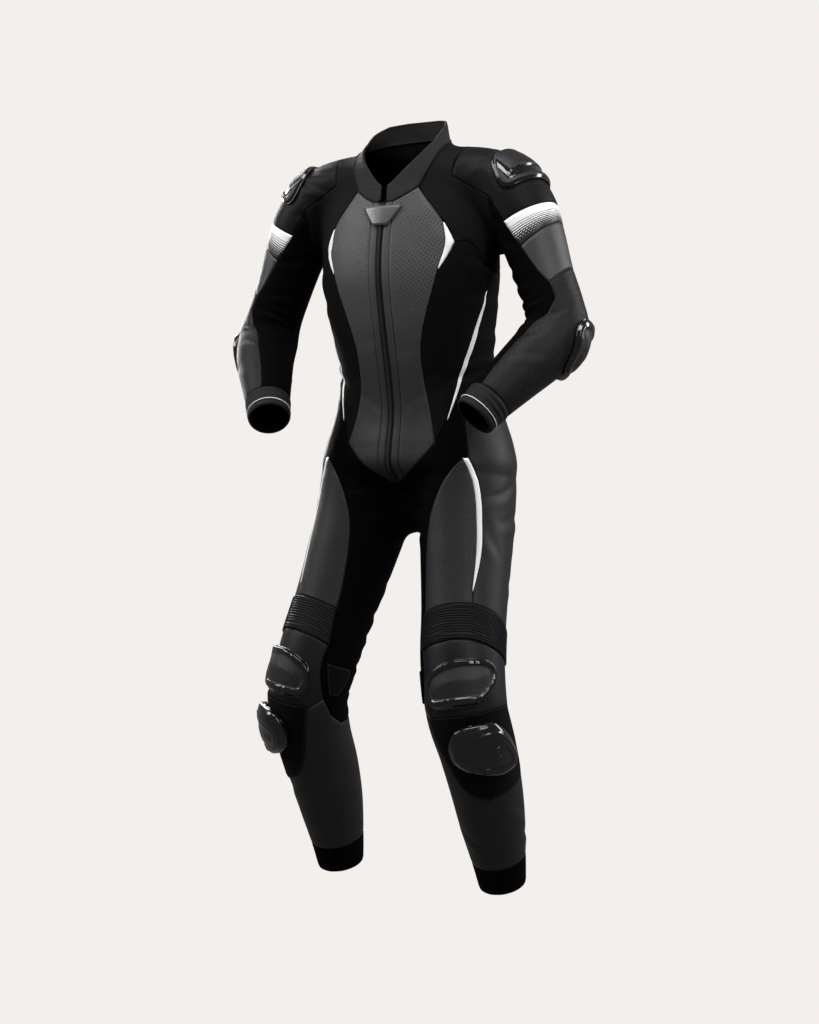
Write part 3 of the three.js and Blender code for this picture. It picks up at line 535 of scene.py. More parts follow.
# %% Moulded plastic, zip teeth, thread
def moulded(name, colour, roughness, coat=0.0, texture=0.0):
    """Injection moulded part: faint orange peel, scuffs that dull the gloss."""
    finish = Finish(name, colour, roughness, coat_weight=coat, coat_roughness=0.08, specular_ior_level=0.35)
    scuffs = finish.noise(7, 8.0).ramp(0.52, 0.72)
    finish.feed("Roughness", scuffs * 0.18 + roughness)
    finish.feed("Base Color", finish.blend(scuffs * 0.5, colour, shade(colour, 2.0)))
    finish.relief(finish.noise(12, 2.0) * 0.05 + finish.cells(1.2) * texture)
    return finish.material


gloss_plastic = moulded("gloss_plastic", (0.003, 0.003, 0.0035), 0.12, coat=0.3)
satin_plastic = moulded("satin_plastic", (0.0045, 0.0045, 0.005), 0.46, texture=0.35)
puck_plastic = moulded("puck_plastic", (0.004, 0.004, 0.0045), 0.24, coat=0.2)
tooth_plastic = moulded("tooth_plastic", (0.02, 0.02, 0.022), 0.3)
thread = moulded("thread", (0.030, 0.030, 0.032), 0.5)
pale_print = moulded("pale_print", (0.7, 0.7, 0.7), 0.5)
print("finishes:", len(bpy.data.materials))

# %% [markdown]
# Folds. Worn leather does not hang in regular waves: it buckles where a joint bends and is smooth between.
# Each fold is a soft trough with a low ridge beside it, so many millimetres down a sleeve or leg and so many
# degrees round it. Cloth simulation would make folds of its own, but not in the places where this suit has
# them, so they are listed one by one; left and right get different ones.

# %% Folds: side (1 left, -1 right, 0 both), down, turn, run, width, depth, tilt in degrees
FOLDS = {
    "sleeve": [
        (-1, 150, 30, 70, 11, 2.0, 60), (-1, 168, 12, 62, 10, 2.4, 48), (-1, 186, 40, 54, 9, 1.6, 66),
        (1, 150, 20, 50, 11, 1.2, 50), (1, 212, -40, 60, 12, 2.2, 24), (-1, 214, -34, 66, 12, 2.6, 30),
        (0, 240, -70, 70, 12, 2.2, 12), (0, 268, -60, 60, 11, 1.9, 20), (1, 300, -20, 70, 13, 1.8, 35),
        (-1, 306, -30, 66, 12, 2.2, 28), (0, 338, -65, 74, 12, 2.2, 8), (1, 360, 150, 60, 12, 1.5, -20),
        (0, 372, -40, 80, 11, 2.6, 15), (0, 396, -52, 92, 10, 3.0, 4), (0, 416, -36, 96, 9, 3.2, -6),
        (0, 434, -58, 90, 9, 3.4, 2), (0, 453, -40, 86, 9, 3.0, -10), (0, 472, -62, 80, 10, 2.6, -4),
        (1, 494, -30, 70, 11, 2.2, -22), (-1, 498, -44, 78, 11, 2.4, -16), (1, 452, 30, 70, 11, 2.0, -34),
        (-1, 458, 24, 66, 11, 2.2, -30), (1, 520, 10, 70, 12, 1.6, -40), (-1, 528, 0, 74, 12, 1.9, -34),
        (1, 556, 40, 60, 12, 1.3, -50), (-1, 560, 60, 60, 12, 1.5, -44), (0, 420, 170, 66, 12, 1.8, 20),
        (0, 574, -80, 70, 10, 1.6, 0), (0, 596, -20, 66, 9, 1.4, 8),
    ],
    "trunk": [
        (1, 176, 62, 90, 14, 2.4, 50), (-1, 180, 58, 96, 14, 2.8, 44), (1, 214, 78, 90, 14, 2.2, 30),
        (-1, 222, 72, 84, 14, 2.4, 34), (1, 270, 88, 90, 15, 1.8, 16), (-1, 276, 84, 92, 15, 2.0, 20),
        (1, 330, 92, 90, 15, 2.0, 6), (-1, 338, 88, 84, 15, 1.8, 10), (1, 372, 84, 100, 14, 2.6, -4),
        (-1, 378, 80, 96, 14, 2.4, -2), (1, 400, 70, 96, 12, 2.6, -14), (-1, 404, 74, 90, 12, 2.8, -10),
        (1, 424, 100, 100, 12, 2.4, -6), (-1, 428, 96, 96, 12, 2.2, -10), (1, 398, 40, 60, 13, 1.1, -20),
        (-1, 404, 36, 60, 13, 1.2, -16), (1, 440, 24, 60, 13, 1.0, -30), (-1, 446, 20, 56, 13, 1.1, -26),
        (1, 380, 150, 110, 16, 2.6, 4), (-1, 392, 146, 104, 16, 2.8, 8), (0, 420, 170, 120, 15, 2.6, -2),
        (1, 448, 140, 110, 15, 2.4, 10), (-1, 452, 148, 104, 15, 2.4, 6), (0, 300, 165, 130, 20, 1.6, 5),
        (1, 250, 150, 110, 18, 1.8, 22), (-1, 240, 146, 104, 18, 1.9, 26), (1, 190, 150, 90, 16, 1.8, 40),
        (-1, 196, 152, 96, 16, 1.7, 36), (1, 350, 18, 70, 16, 0.8, -12), (-1, 330, 16, 70, 16, 0.8, 14),
    ],
    "leg": [
        (1, 140, -30, 80, 13, 2.6, 52), (-1, 144, -26, 84, 13, 2.8, 48), (1, 176, -52, 90, 13, 2.4, 40),
        (-1, 180, -48, 86, 13, 2.6, 44), (1, 214, -72, 90, 14, 2.2, 28), (-1, 220, -70, 94, 14, 2.2, 30),
        (1, 150, 80, 110, 16, 1.8, -30), (-1, 156, 76, 104, 16, 1.9, -26), (1, 196, 110, 110, 16, 2.0, -20),
        (-1, 204, 106, 104, 16, 2.0, -24), (1, 250, 60, 100, 18, 1.2, 56), (-1, 262, 66, 100, 18, 1.2, 60),
        (1, 240, 170, 100, 15, 2.8, 14), (-1, 246, 166, 104, 15, 2.8, 10), (0, 276, 176, 110, 15, 2.6, 2),
        (1, 306, 150, 100, 16, 2.0, -10), (-1, 312, 148, 100, 16, 2.0, -8), (1, 300, -110, 110, 16, 1.8, 30),
        (-1, 310, -106, 110, 16, 1.8, 26), (0, 360, -130, 110, 14, 2.2, 10), (1, 398, -150, 110, 12, 2.8, 4),
        (-1, 402, -146, 110, 12, 2.6, 0), (0, 428, -168, 116, 11, 3.2, -2), (0, 456, -150, 116, 11, 3.4, 4),
        (0, 482, -172, 120, 11, 3.6, -4), (1, 508, -152, 116, 11, 3.2, 6), (-1, 510, -158, 112, 11, 3.4, 2),
        (0, 536, -174, 110, 12, 2.8, -4), (0, 562, -150, 104, 12, 2.4, 8), (1, 690, 30, 90, 16, 1.6, 60),
        (-1, 684, 24, 90, 16, 1.6, 56), (1, 730, 80, 100, 16, 1.7, 40), (-1, 736, 70, 96, 16, 1.8, 46),
        (1, 770, -20, 90, 14, 1.8, 24), (-1, 766, -30, 94, 14, 1.8, 28), (0, 796, 120, 90, 13, 1.8, 8),
        (0, 812, 0, 84, 11, 1.6, 4), (1, 640, 150, 90, 15, 1.8, -20), (-1, 646, 156, 90, 15, 1.8, -24),
    ],
    "neck": [],
}
CHARTS = {"trunk": trunk, "sleeve": sleeve, "leg": leg, "neck": neck}

# How a fold is shaped: what it reaches as a share of its run, the rest as shares of its width and depth.
FOLD_REACH = 0.62
TROUGH_WIDTH = 0.55
RIDGE_HEIGHT = 0.75
RIDGE_WIDTH = 0.7
RIDGE_AWAY = 1.05
WAVER = 2.5
WAVER_LENGTH = 17.0


def fold_depth(chart_name, side, down, turn, radius):
    """How far folds push each point outwards, at its place on the chart."""
    total = np.zeros(len(down))
    for which, fold_down, fold_turn, run, width, deep, tilt in FOLDS[chart_name]:
        if which and which != side:
            continue
        round_it = np.radians((turn - fold_turn + 180) % 360 - 180) * radius
        below = down - fold_down
        along = math.cos(math.radians(tilt)) * round_it + math.sin(math.radians(tilt)) * below
        over = math.cos(math.radians(tilt)) * below - math.sin(math.radians(tilt)) * round_it
        over = over + WAVER * np.sin(along / WAVER_LENGTH + fold_down)
        ends = np.clip(1 - (along / (FOLD_REACH * run)) ** 2, 0, 1) ** 1.5
        trough = -np.exp(-((over / (TROUGH_WIDTH * width)) ** 2))
        ridge = RIDGE_HEIGHT * np.exp(-(((over - RIDGE_AWAY * width) / (RIDGE_WIDTH * width)) ** 2))
        total += deep * ends * (trough + ridge)
    return total


print("folds:", sum(len(rows) for rows in FOLDS.values()))

# %% [markdown]
# From a coarse solid to a fine panel. The outer face of each solid is taken from the frame, every triangle is
# split into four one to three times, and the new points are drawn onto the smooth form. A subdivision
# modifier would do the splitting, but it would also pull the panel's edge away from its neighbour's.

# %% Outer face of a solid, split and settled
FINE_EDGE = 5.0
MOST_SPLITS = 3
FACES_OUT = 0.45
SUNK = 1.5


def solid_of(node):
    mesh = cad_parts[node].data
    points = np.zeros(len(mesh.vertices) * 3)
    mesh.vertices.foreach_get("co", points)
    points = points.reshape(-1, 3) * 1000
    mesh.calc_loop_triangles()
    corners = np.zeros(len(mesh.loop_triangles) * 3, np.int64)
    mesh.loop_triangles.foreach_get("vertices", corners)
    _, first, shared = np.unique(np.round(points, 2), axis=0, return_index=True, return_inverse=True)
    faces = shared.reshape(-1)[corners].reshape(-1, 3)
    whole = (faces[:, 0] != faces[:, 1]) & (faces[:, 1] != faces[:, 2]) & (faces[:, 2] != faces[:, 0])
    return points[first], faces[whole]


def outer_face(node):
    """The outer wall of a solid: its points on the form, their heights above it, its triangles, its base."""
    points, faces = solid_of(node)
    foot = settle(points, 5)
    height = ((points - foot) * normal(foot)).sum(1)
    a, b, c = (points[faces[:, k]] for k in range(3))
    outwards = (unit(np.cross(b - a, c - a)) * normal((a + b + c) / 3)).sum(1)
    base = float(np.median(height[faces[outwards < -FACES_OUT]]))
    faces = faces[outwards > FACES_OUT]
    used, faces = np.unique(faces, return_inverse=True)
    foot, height = foot[used], height[used]
    sunk = height < np.median(height) - SUNK
    height[sunk] = np.median(height)
    return foot, height, faces.reshape(-1, 3), base


def split(points, height, faces):
    """Every triangle in four, by the middles of its edges."""
    edges = np.sort(np.concatenate([faces[:, [0, 1]], faces[:, [1, 2]], faces[:, [2, 0]]]), axis=1)
    unique, index = np.unique(edges, axis=0, return_inverse=True)
    ab, bc, ca = len(points) + index.reshape(3, -1)
    a, b, c = faces.T
    finer = np.concatenate([
        np.column_stack(rows) for rows in ((a, ab, ca), (ab, b, bc), (ca, bc, c), (ab, bc, ca))
    ])
    points = np.vstack([points, points[unique].mean(1)])
    height = np.concatenate([height, height[unique].mean(1)])
    return points, height, finer


def rim_of(faces):
    """Edges that only one triangle has, in that triangle's direction."""
    edges = np.concatenate([faces[:, [0, 1]], faces[:, [1, 2]], faces[:, [2, 0]]])
    _, index, count = np.unique(np.sort(edges, axis=1), axis=0, return_inverse=True, return_counts=True)
    return edges[count[index.reshape(-1)] == 1]


def loops_of(rim):
    """The rim as closed runs of point numbers."""
    after = dict(rim.tolist())
    runs = []
    while after:
        start, point = after.popitem()
        run = [start]
        while point != start and point in after:
            run.append(point)
            point = after.pop(point)
        runs.append(np.array(run))
    return runs


def nearest_gap(points, others, chunk=2000):
    """Distance from each point to the nearest of the others."""
    found = np.empty(len(points))
    for k in range(0, len(points), chunk):
        square = ((points[k:k + chunk, None, :] - others[None]) ** 2).sum(2)
        found[k:k + chunk] = np.sqrt(square.min(1))
    return found


def closed_shell(outer, inner, faces):
    """An outer and an inner face joined by a wall round their rim."""
    rim = rim_of(faces)
    count = len(outer)
    wall = np.vstack([
        np.column_stack([rim[:, 1], rim[:, 0], rim[:, 0] + count]),
        np.column_stack([rim[:, 1], rim[:, 0] + count, rim[:, 1] + count]),
    ])
    return np.vstack([outer, inner]), np.vstack([faces, faces[:, ::-1] + count, wall])


# %% Meshes in metres, with their finish, slot and body
def build_mesh(name, points, faces, finishes, replaced=(), cut=None, numbers=None, index=None,
               smooth=True):
    """Numbers are kept at the points, index is each face's finish, and cut is its place on the flat cloth."""
    mesh = bpy.data.meshes.new(name)
    faces = np.asarray(faces)
    corners = faces.shape[1]
    mesh.vertices.add(len(points))
    mesh.vertices.foreach_set("co", (np.asarray(points) / 1000).astype(np.float32).ravel())
    mesh.loops.add(faces.size)
    mesh.loops.foreach_set("vertex_index", faces.astype(np.int32).ravel())
    mesh.polygons.add(len(faces))
    mesh.polygons.foreach_set("loop_start", np.arange(0, faces.size, corners, dtype=np.int32))
    mesh.polygons.foreach_set("use_smooth", np.full(len(faces), smooth))
    if index is not None:
        mesh.polygons.foreach_set("material_index", np.asarray(index, np.int32))
    for finish in finishes:
        mesh.materials.append(finish)
    mesh.update(calc_edges=True)
    mesh.validate()
    if cut is not None:
        layer = mesh.uv_layers.new(name="cut")
        where = np.zeros(len(mesh.loops), np.int32)
        mesh.loops.foreach_get("vertex_index", where)
        layer.data.foreach_set("uv", (cut[where] / 1000).astype(np.float32).ravel())
    for key, values in (numbers or {}).items():
        mesh.attributes.new(key, "FLOAT", "POINT").data.foreach_set("value", values.astype(np.float32))
    piece = bpy.data.objects.new(name, mesh)
    bpy.context.scene.collection.objects.link(piece)
    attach(piece, "root")
    if replaced:
        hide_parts(*replaced)
    return piece


# %% A panel of cloth
OPEN_EDGES = {}
KNEE_RIBS = 13
RIB_FLOOR = 0.8
RIB_HEIGHT = 2.0
RIB_ROUNDNESS = 0.55
AREA_OF_CUT = 0.8
NARROWEST_CUT = 10.5
EASE = 1.05
ROLL_WIDTH = 2.2
FAR_FROM_EDGE = 9.0
ACROSS_MIDDLE = 20


def flat_size(points, faces):
    """Width and length of the cut that a panel comes from, and its area, in metres."""
    a, b, c = (points[faces[:, k]] for k in range(3))
    area = np.linalg.norm(np.cross(b - a, c - a), axis=1).sum() / 2
    spread = points - points.mean(0)
    main = np.linalg.svd(spread, full_matrices=False)[2][0]
    length = np.ptp(spread @ main) * EASE
    width = max(area / (AREA_OF_CUT * length), NARROWEST_CUT)
    return width / 1000, length / 1000, area / 1e6


def chart_places(chart_name, foot):
    """Millimetres down the chart and degrees round it, with no jump from 180 to -180 inside the panel."""
    down, turn = CHARTS[chart_name].chart(one_side(foot))
    middle = np.degrees(np.angle(np.exp(1j * np.radians(turn)).mean()))
    turn = middle + (turn - middle + 180) % 360 - 180
    if chart_name == "trunk":
        turn = turn * np.sign(foot[:, 0] + 1e-6)
    return down, turn


def folded(chart_name, node, foot, down, turn, radius):
    """How far the folds of its side push each point out. A panel across the middle has those of both."""
    side = -1 if node.endswith("_right") else 1
    across_middle = abs(foot[:, 0].mean()) < ACROSS_MIDDLE
    sides = np.where(foot[:, 0] < 0, -1, 1) if across_middle else np.full(len(foot), side)
    if chart_name == "trunk":
        turn = np.abs(turn)
    pushed = np.zeros(len(foot))
    for each in (-1, 1):
        mine = sides == each
        if mine.any():
            pushed[mine] = fold_depth(chart_name, each, down[mine], turn[mine], radius)
    return pushed


def panel(node, chart_name, finish, rolled=0.7, ribs=0.0, folds=1.0, share=None, ribbed=None,
          inside=None):
    """Remake one solid of cloth. Ribs softens its own ribs; ribbed gives the share for finer ones."""
    foot, height, faces, base = outer_face(node)
    edge_length = np.linalg.norm(foot[faces[:, 0]] - foot[faces[:, 1]], axis=1).mean()
    levels = int(np.clip(math.ceil(math.log2(edge_length / FINE_EDGE)), 1, MOST_SPLITS))
    if ribbed:
        levels = MOST_SPLITS
    width, length, area = flat_size(foot, faces)
    for _ in range(levels):
        foot, height, faces = split(foot, height, faces)
    foot = settle(foot)
    outward = normal(foot)
    rim = rim_of(faces)
    edge = nearest_gap(foot, foot[np.unique(rim)])
    down, turn = chart_places(chart_name, foot)
    radius = float((CHARTS[chart_name].wide + CHARTS[chart_name].deep).mean() / 2)
    cut = np.column_stack([np.radians(turn) * radius, down])
    if ribs:
        height = ribs * np.sin(np.clip(height / ribs, 0, 1) * math.pi / 2)
    if ribbed:
        wave = np.abs(np.sin(math.pi * KNEE_RIBS * ribbed(down, turn)))
        height = RIB_FLOOR + RIB_HEIGHT * wave**RIB_ROUNDNESS
    pushed = -rolled * np.exp(-edge / ROLL_WIDTH)
    if folds:
        pushed = pushed + folds * folded(chart_name, node, foot, down, turn, radius)
    surface = foot + outward * pushed[:, None]
    outer = surface + outward * height[:, None]
    points, shell = closed_shell(outer, surface + outward * base, faces)
    index = np.zeros(len(shell))
    index[len(faces):2 * len(faces)] = 1
    numbers = {"edge": np.concatenate([edge, np.full(len(foot), FAR_FROM_EDGE)])}
    if share:
        numbers["share"] = np.tile(share(down, turn), 2)
    finishes = [finish, inside or lining_cloth]
    piece = build_mesh(
        f"{node}_cloth", points, shell, finishes, [node], np.tile(cut, (2, 1)), numbers, index,
    )
    OPEN_EDGES[node] = [(outer[run], outward[run]) for run in loops_of(rim)]


def knee_rib_share(down, turn):
    """How far down the rib insert a point lies, from its upper seam to its lower one."""
    top = np.interp(turn, [-34, 0, 37, 80, 125], [384, 377, 374, 384, 402])
    low = np.interp(turn, [-40, 0, 37, 80, 125], [442, 434, 433, 444, 462])
    return (down - top) / (low - top)


def band_share(down, turn):
    """How far down the band a point lies, from its upper seam to its lower one."""
    top = np.interp(turn, [-14, 38, 90, 142, 194], [267, 262, 258, 259, 262])
    low = np.interp(turn, [0, 45, 90, 140, 190], [318, 301, 289, 294, 310])
    return (down - top) / (low - top)


# %% [markdown]
# The panels one by one: black stretch where the body bends, leather where it slides on the road, white inlays
# between. The folds grow stronger on stretch cloth and are only hinted on the ribbed and padded pieces.

# %% Trunk
for side in ("left", "right"):
    panel(f"front_panel_{side}", "trunk", chest_leather, folds=0.6)
    panel(f"placket_{side}", "trunk", placket_leather, rolled=0.5, folds=0.6)
    panel(f"chest_crescent_{side}", "trunk", white_leather, rolled=0.4, folds=0.5)
    panel(f"shoulder_yoke_{side}", "trunk", yoke_cloth, folds=0.8)
    panel(f"front_side_{side}", "trunk", mesh_cloth)
    panel(f"side_stripe_{side}", "trunk", white_leather, rolled=0.3)
    panel(f"side_panel_{side}", "trunk", mesh_cloth)
panel("zip", "trunk", tape_cloth, rolled=0.0, folds=0.6)
panel("back_panel", "trunk", grained_leather)
panel("seat_panel", "trunk", stretch_cloth)
print("panels so far:", len(OPEN_EDGES))

# %% Sleeves
for side in ("left", "right"):
    panel(f"shoulder_{side}", "sleeve", shoulder_leather, folds=0.9)
    panel(f"arm_band_{side}", "sleeve", band_print, share=band_share, folds=0.5)
    panel(f"upper_arm_{side}", "sleeve", arm_leather, folds=0.8)
    panel(f"forearm_{side}", "sleeve", punched_leather, folds=0.8)
    panel(f"sleeve_inner_{side}", "sleeve", stretch_cloth)
    panel(f"cuff_{side}", "sleeve", ribbed_cloth, ribs=1.6, rolled=0.3, folds=0.0)
print("panels so far:", len(OPEN_EDGES))

# %% Legs
for side in ("left", "right"):
    panel(f"leg_inner_{side}", "leg", stretch_cloth)
    panel(f"thigh_front_{side}", "leg", hip_leather, folds=0.6)
    panel(f"thigh_stripe_{side}", "leg", white_leather, rolled=0.3, folds=0.6)
    panel(f"thigh_outer_{side}", "leg", thigh_leather, folds=0.9)
    panel(f"knee_ribs_{side}", "leg", rib_leather, ribbed=knee_rib_share, rolled=0.3,
          folds=0.0)
    panel(f"knee_panel_{side}", "leg", smooth_leather, folds=0.4)
    panel(f"lower_leg_{side}", "leg", shin_leather, folds=0.8)
    panel(f"ankle_cuff_{side}", "leg", stretch_cloth, folds=0.6)
    panel(f"slider_patch_{side}", "leg", fleece, rolled=0.0, folds=0.0)
    panel(f"knee_patch_{side}", "leg", patch_leather, rolled=0.0, folds=0.0)
print("panels so far:", len(OPEN_EDGES))

# %% Collar, flap, label
panel("collar", "neck", collar_cloth, rolled=1.0, folds=0.0, inside=collar_cloth)
panel("neck_flap", "trunk", flap_leather, rolled=0.6, folds=0.0)
panel("neck_label", "neck", label_cloth, rolled=0.0, folds=0.0)
print("panels in all:", len(OPEN_EDGES))

# %% [markdown]
# Stitches. One or two rows of heavy thread hold the leather down beside most seams; they read as fine broken
# lines even from across a room. A dashed texture would be flat, so each stitch is a small raised lens of
# thread, laid along the panel's own edge, a few millimetres in.


# %% Stitches along closed lines
STITCH_PITCH = 4.6
STITCH_LENGTH = 3.5
SHORTEST_STITCH = 1.5


def spaced(run):
    """Stitch starts along a closed run: their places, the length along the run, and the run closed."""
    line = np.vstack([run, run[:1]])
    along = np.concatenate([[0], np.cumsum(np.linalg.norm(np.diff(line, axis=0), axis=1))])
    return np.arange(0, along[-1] - STITCH_PITCH / 2, STITCH_PITCH), along, line


def sample(line, along, at):
    return np.column_stack([np.interp(at, along, line[:, k]) for k in range(3)])


def stitch_mesh(start, end, up, width=0.55, rise=0.45, sunk=0.15):
    """Lens shaped stitches between their two ends."""
    across = np.cross(unit(end - start), up)
    middle = (start + end) / 2
    corners = [start - sunk * up, end - sunk * up]
    corners += [middle + width * across, middle - width * across, middle + rise * up]
    points = np.stack(corners, 1).reshape(-1, 3)
    lens = np.array([(0, 2, 4), (2, 1, 4), (1, 3, 4), (3, 0, 4), (0, 3, 1), (0, 1, 2)])
    faces = (lens[None] + 5 * np.arange(len(start))[:, None, None]).reshape(-1, 3)
    return points, faces


def stitches(name, lines, lift=0.15):
    """Stitches along closed lines, each given as its points and the way up at them."""
    points, faces, total = [], [], 0
    for run, ups in lines:
        at, along, line = spaced(run)
        start = sample(line, along, at)
        end = sample(line, along, at + STITCH_LENGTH)
        up = unit(sample(np.vstack([ups, ups[:1]]), along, at + STITCH_LENGTH / 2))
        whole = np.linalg.norm(end - start, axis=1) > SHORTEST_STITCH
        p, f = stitch_mesh((start + lift * up)[whole], (end + lift * up)[whole], up[whole])
        points.append(p)
        faces.append(f + total)
        total += len(p)
    print(name, total // 5, "stitches")
    build_mesh(name, np.vstack(points), np.vstack(faces), [thread])


# %% Rows of stitches inside the edges of the panels
NEAR_ROW = (2.4,)
TWO_ROWS = (2.4, 5.6)


def inset_run(run, outward, by):
    """The run moved in from a panel's edge, along its surface."""
    ahead = np.roll(run, -1, axis=0) - np.roll(run, 1, axis=0)
    return run + by * unit(np.cross(outward, ahead))


def stitch_rows(name, nodes, insets=NEAR_ROW, lift=0.15):
    edges = [edge for node in nodes for edge in OPEN_EDGES[node]]
    lines = [(inset_run(run, outward, inset), outward) for run, outward in edges for inset in insets]
    stitches(name, lines, lift)


for side in ("left", "right"):
    sleeve_nodes = [f"{n}_{side}" for n in ("shoulder", "upper_arm", "forearm")]
    thigh_nodes = [f"{n}_{side}" for n in ("thigh_front", "thigh_outer")]
    knee_nodes = [f"{n}_{side}" for n in ("knee_panel", "lower_leg", "knee_patch")]
    stitch_rows(f"stitches_trunk_{side}", [f"front_panel_{side}", f"placket_{side}"])
    stitch_rows(f"stitches_sleeve_{side}", sleeve_nodes, TWO_ROWS)
    stitch_rows(f"stitches_thigh_{side}", thigh_nodes)
    stitch_rows(f"stitches_knee_{side}", knee_nodes)
    stitch_rows(f"stitches_patch_{side}", [f"slider_patch_{side}"], (3.0,), lift=0.3)
stitch_rows("stitches_back", ["back_panel"], TWO_ROWS)
stitch_rows("stitches_collar", ["collar"], (4.5,))
stitch_rows("stitches_flap", ["neck_flap"], (2.2,))

# %% [markdown]
# The zip is a row of moulded teeth on woven tape. Every tooth is a small block that reaches over the middle
# line from its own side in turn, which is what makes a closed zip look like a ladder.


# %% Zip teeth
ZIP_TOP = -84.0
ZIP_BOTTOM = -566.0
TOOTH_PITCH = 1.7
TOOTH_HALF = (2.1, 0.62, 0.75)
TOOTH_LIFT = 1.2
TOOTH_SHIFT = 0.9


def zip_teeth():
    z = np.arange(ZIP_TOP, ZIP_BOTTOM, -TOOTH_PITCH)
    middle = front(np.zeros(len(z)), z)
    up = normal(middle)
    down_way = unit(np.gradient(middle, axis=0))
    across = np.cross(up, down_way)
    side = np.where(np.arange(len(z)) % 2, 1.0, -1.0)[:, None]
    centre = middle + up * TOOTH_LIFT + across * side * TOOTH_SHIFT
    wide, tall, thick = across * TOOTH_HALF[0], down_way * TOOTH_HALF[1], up * TOOTH_HALF[2]
    corners = [centre + wide * a + tall * b + thick * c for a in (-1, 1) for b in (-1, 1) for c in (-1, 1)]
    points = np.stack(corners, 1).reshape(-1, 3)
    block = np.array([(0, 1, 3, 2), (4, 6, 7, 5), (0, 4, 5, 1), (2, 3, 7, 6), (0, 2, 6, 4), (1, 5, 7, 3)])
    faces = (block[None] + 8 * np.arange(len(z))[:, None, None]).reshape(-1, 4)
    print("teeth:", len(z))
    build_mesh("zip_teeth", points, faces, [tooth_plastic], smooth=False)


zip_teeth()

# %% [markdown]
# Hard parts. The guards at knee, elbow and shoulder are moulded shells with a raised glossy frame and a
# duller insert; the knee slider is a thick puck that touches the road. Each is laid on the limb in rings that
# shrink from its smooth outline to its middle, so frame and lip follow the outline at an even width. A square
# grid would be simpler, but its four corners show as creases on a round part.


# %% Rings inside an outline laid on a limb
OUTLINE_POINTS = 120
OUTLINE_ROUNDING = 12
RINGS = 34
LEG_GIRTH = 1.26
SLEEVE_GIRTH = 0.94
CUP_BASE = 1.5
SLIDER_BASE = 4.6
CAP_BASE = 1.4


def closed_length(line):
    closed = np.vstack([line, line[:1]])
    return closed, np.concatenate([[0], np.cumsum(np.linalg.norm(np.diff(closed, axis=0), axis=1))])


def resampled(line, count):
    """Even places on a closed flat line."""
    closed, along = closed_length(line)
    at = np.linspace(0, along[-1], count, endpoint=False)
    return np.column_stack([np.interp(at, along, closed[:, k]) for k in range(2)])


def outline(table, girth):
    """A rounded line round the ends of a table's rows, in flat millimetres: down, and round the limb."""
    down, start, end = np.array(table, float).T
    corners = np.vstack([np.column_stack([down, end * girth]), np.column_stack([down, start * girth])[::-1]])
    line = resampled(corners, OUTLINE_POINTS)
    for _ in range(OUTLINE_ROUNDING):
        line = (np.roll(line, 1, axis=0) + 2 * line + np.roll(line, -1, axis=0)) / 4
    return line


def ring_faces(count, rings):
    """Triangles of a middle point and the rings round it."""
    j = np.arange(count)
    after = (j + 1) % count
    fan = np.column_stack([np.zeros(count, int), 1 + j, 1 + after])
    bands = [fan]
    for ring in range(rings - 1):
        inner, outer = 1 + ring * count, 1 + (ring + 1) * count
        bands.append(np.column_stack([inner + j, outer + j, outer + after]))
        bands.append(np.column_stack([inner + j, outer + after, inner + after]))
    return np.vstack(bands)


def hard_part(node, tube, table, girth, base, profile, finishes, second_finish):
    """A guard with a rounded outline. Both profile, its height, and second_finish, where it is laid in the
    second of its finishes, are asked with millimetres from the rim, share down and share round."""
    line = outline(table, girth)
    middle = line.mean(0)
    reach = np.sin(np.linspace(0, math.pi / 2, RINGS + 1))[1:]
    flat = np.vstack([middle[None], *(middle + r * (line - middle) for r in reach)])
    away = nearest_gap(flat, resampled(line, 8 * OUTLINE_POINTS))
    v, u = ((flat[:, k] - line[:, k].min()) / np.ptp(line[:, k]) for k in range(2))
    foot = on(tube, flat[:, 0], flat[:, 1] / girth)
    outward = normal(foot)
    if node.endswith("_right"):
        foot, outward = foot * [-1, 1, 1], outward * [-1, 1, 1]
    height = base + profile(away, v, u)
    top = ring_faces(OUTLINE_POINTS, RINGS)
    turned = np.cross(foot[top[:, 1]] - foot[top[:, 0]], foot[top[:, 2]] - foot[top[:, 0]])
    if (turned * outward[top[:, 0]]).sum() < 0:
        top = top[:, ::-1]
    points, faces = closed_shell(foot + outward * height[:, None], foot + outward * base, top)
    index = np.zeros(len(faces))
    index[:len(top)] = second_finish(away[top].mean(1), v[top].mean(1), u[top].mean(1))
    print(node, "stands", round(float(height.max()), 1), "mm above the leather")
    build_mesh(
        f"{node}_shell", points, faces, finishes, [node],
        np.tile(flat[:, ::-1], (2, 1)), {"edge": np.tile(away, 2)}, index,
    )


def step_up(value, start, end):
    """0 before start, 1 after end, soft in between."""
    t = np.clip((value - start) / (end - start), 0, 1)
    return t * t * (3 - 2 * t)


def groove(value, start, end, soft):
    """1 between start and end, falling softly to 0 at both."""
    return step_up(value, start, start + soft) * (1 - step_up(value, end - soft, end))


# %% Knee cups
KNEE_CUP = [(464, 16, 60), (470, -4, 68), (480, -22, 73), (498, -29, 73), (514, -28, 62), (526, -20, 46)]
KNEE_FRAME = 10.5


def knee_cup_profile(away, v, u):
    """A raised frame with two slots across it, and a crowned insert inside."""
    frame_height = 3 + 6.0 * step_up(away, 0.3, 4.5) - 3.2 * step_up(away, KNEE_FRAME - 1.2, KNEE_FRAME + 0.6)
    crown = 2.4 * step_up(away, KNEE_FRAME, 36)
    slots = 1.3 * groove(np.abs(u - 0.5), 0.17, 0.20, 0.008) * groove(away, 1.5, KNEE_FRAME, 1.0)
    return frame_height + crown - slots


for side in ("left", "right"):
    hard_part(f"knee_cup_{side}", leg, KNEE_CUP, LEG_GIRTH, CUP_BASE, knee_cup_profile,
              [gloss_plastic, satin_plastic], lambda away, v, u: away > KNEE_FRAME - 0.2)

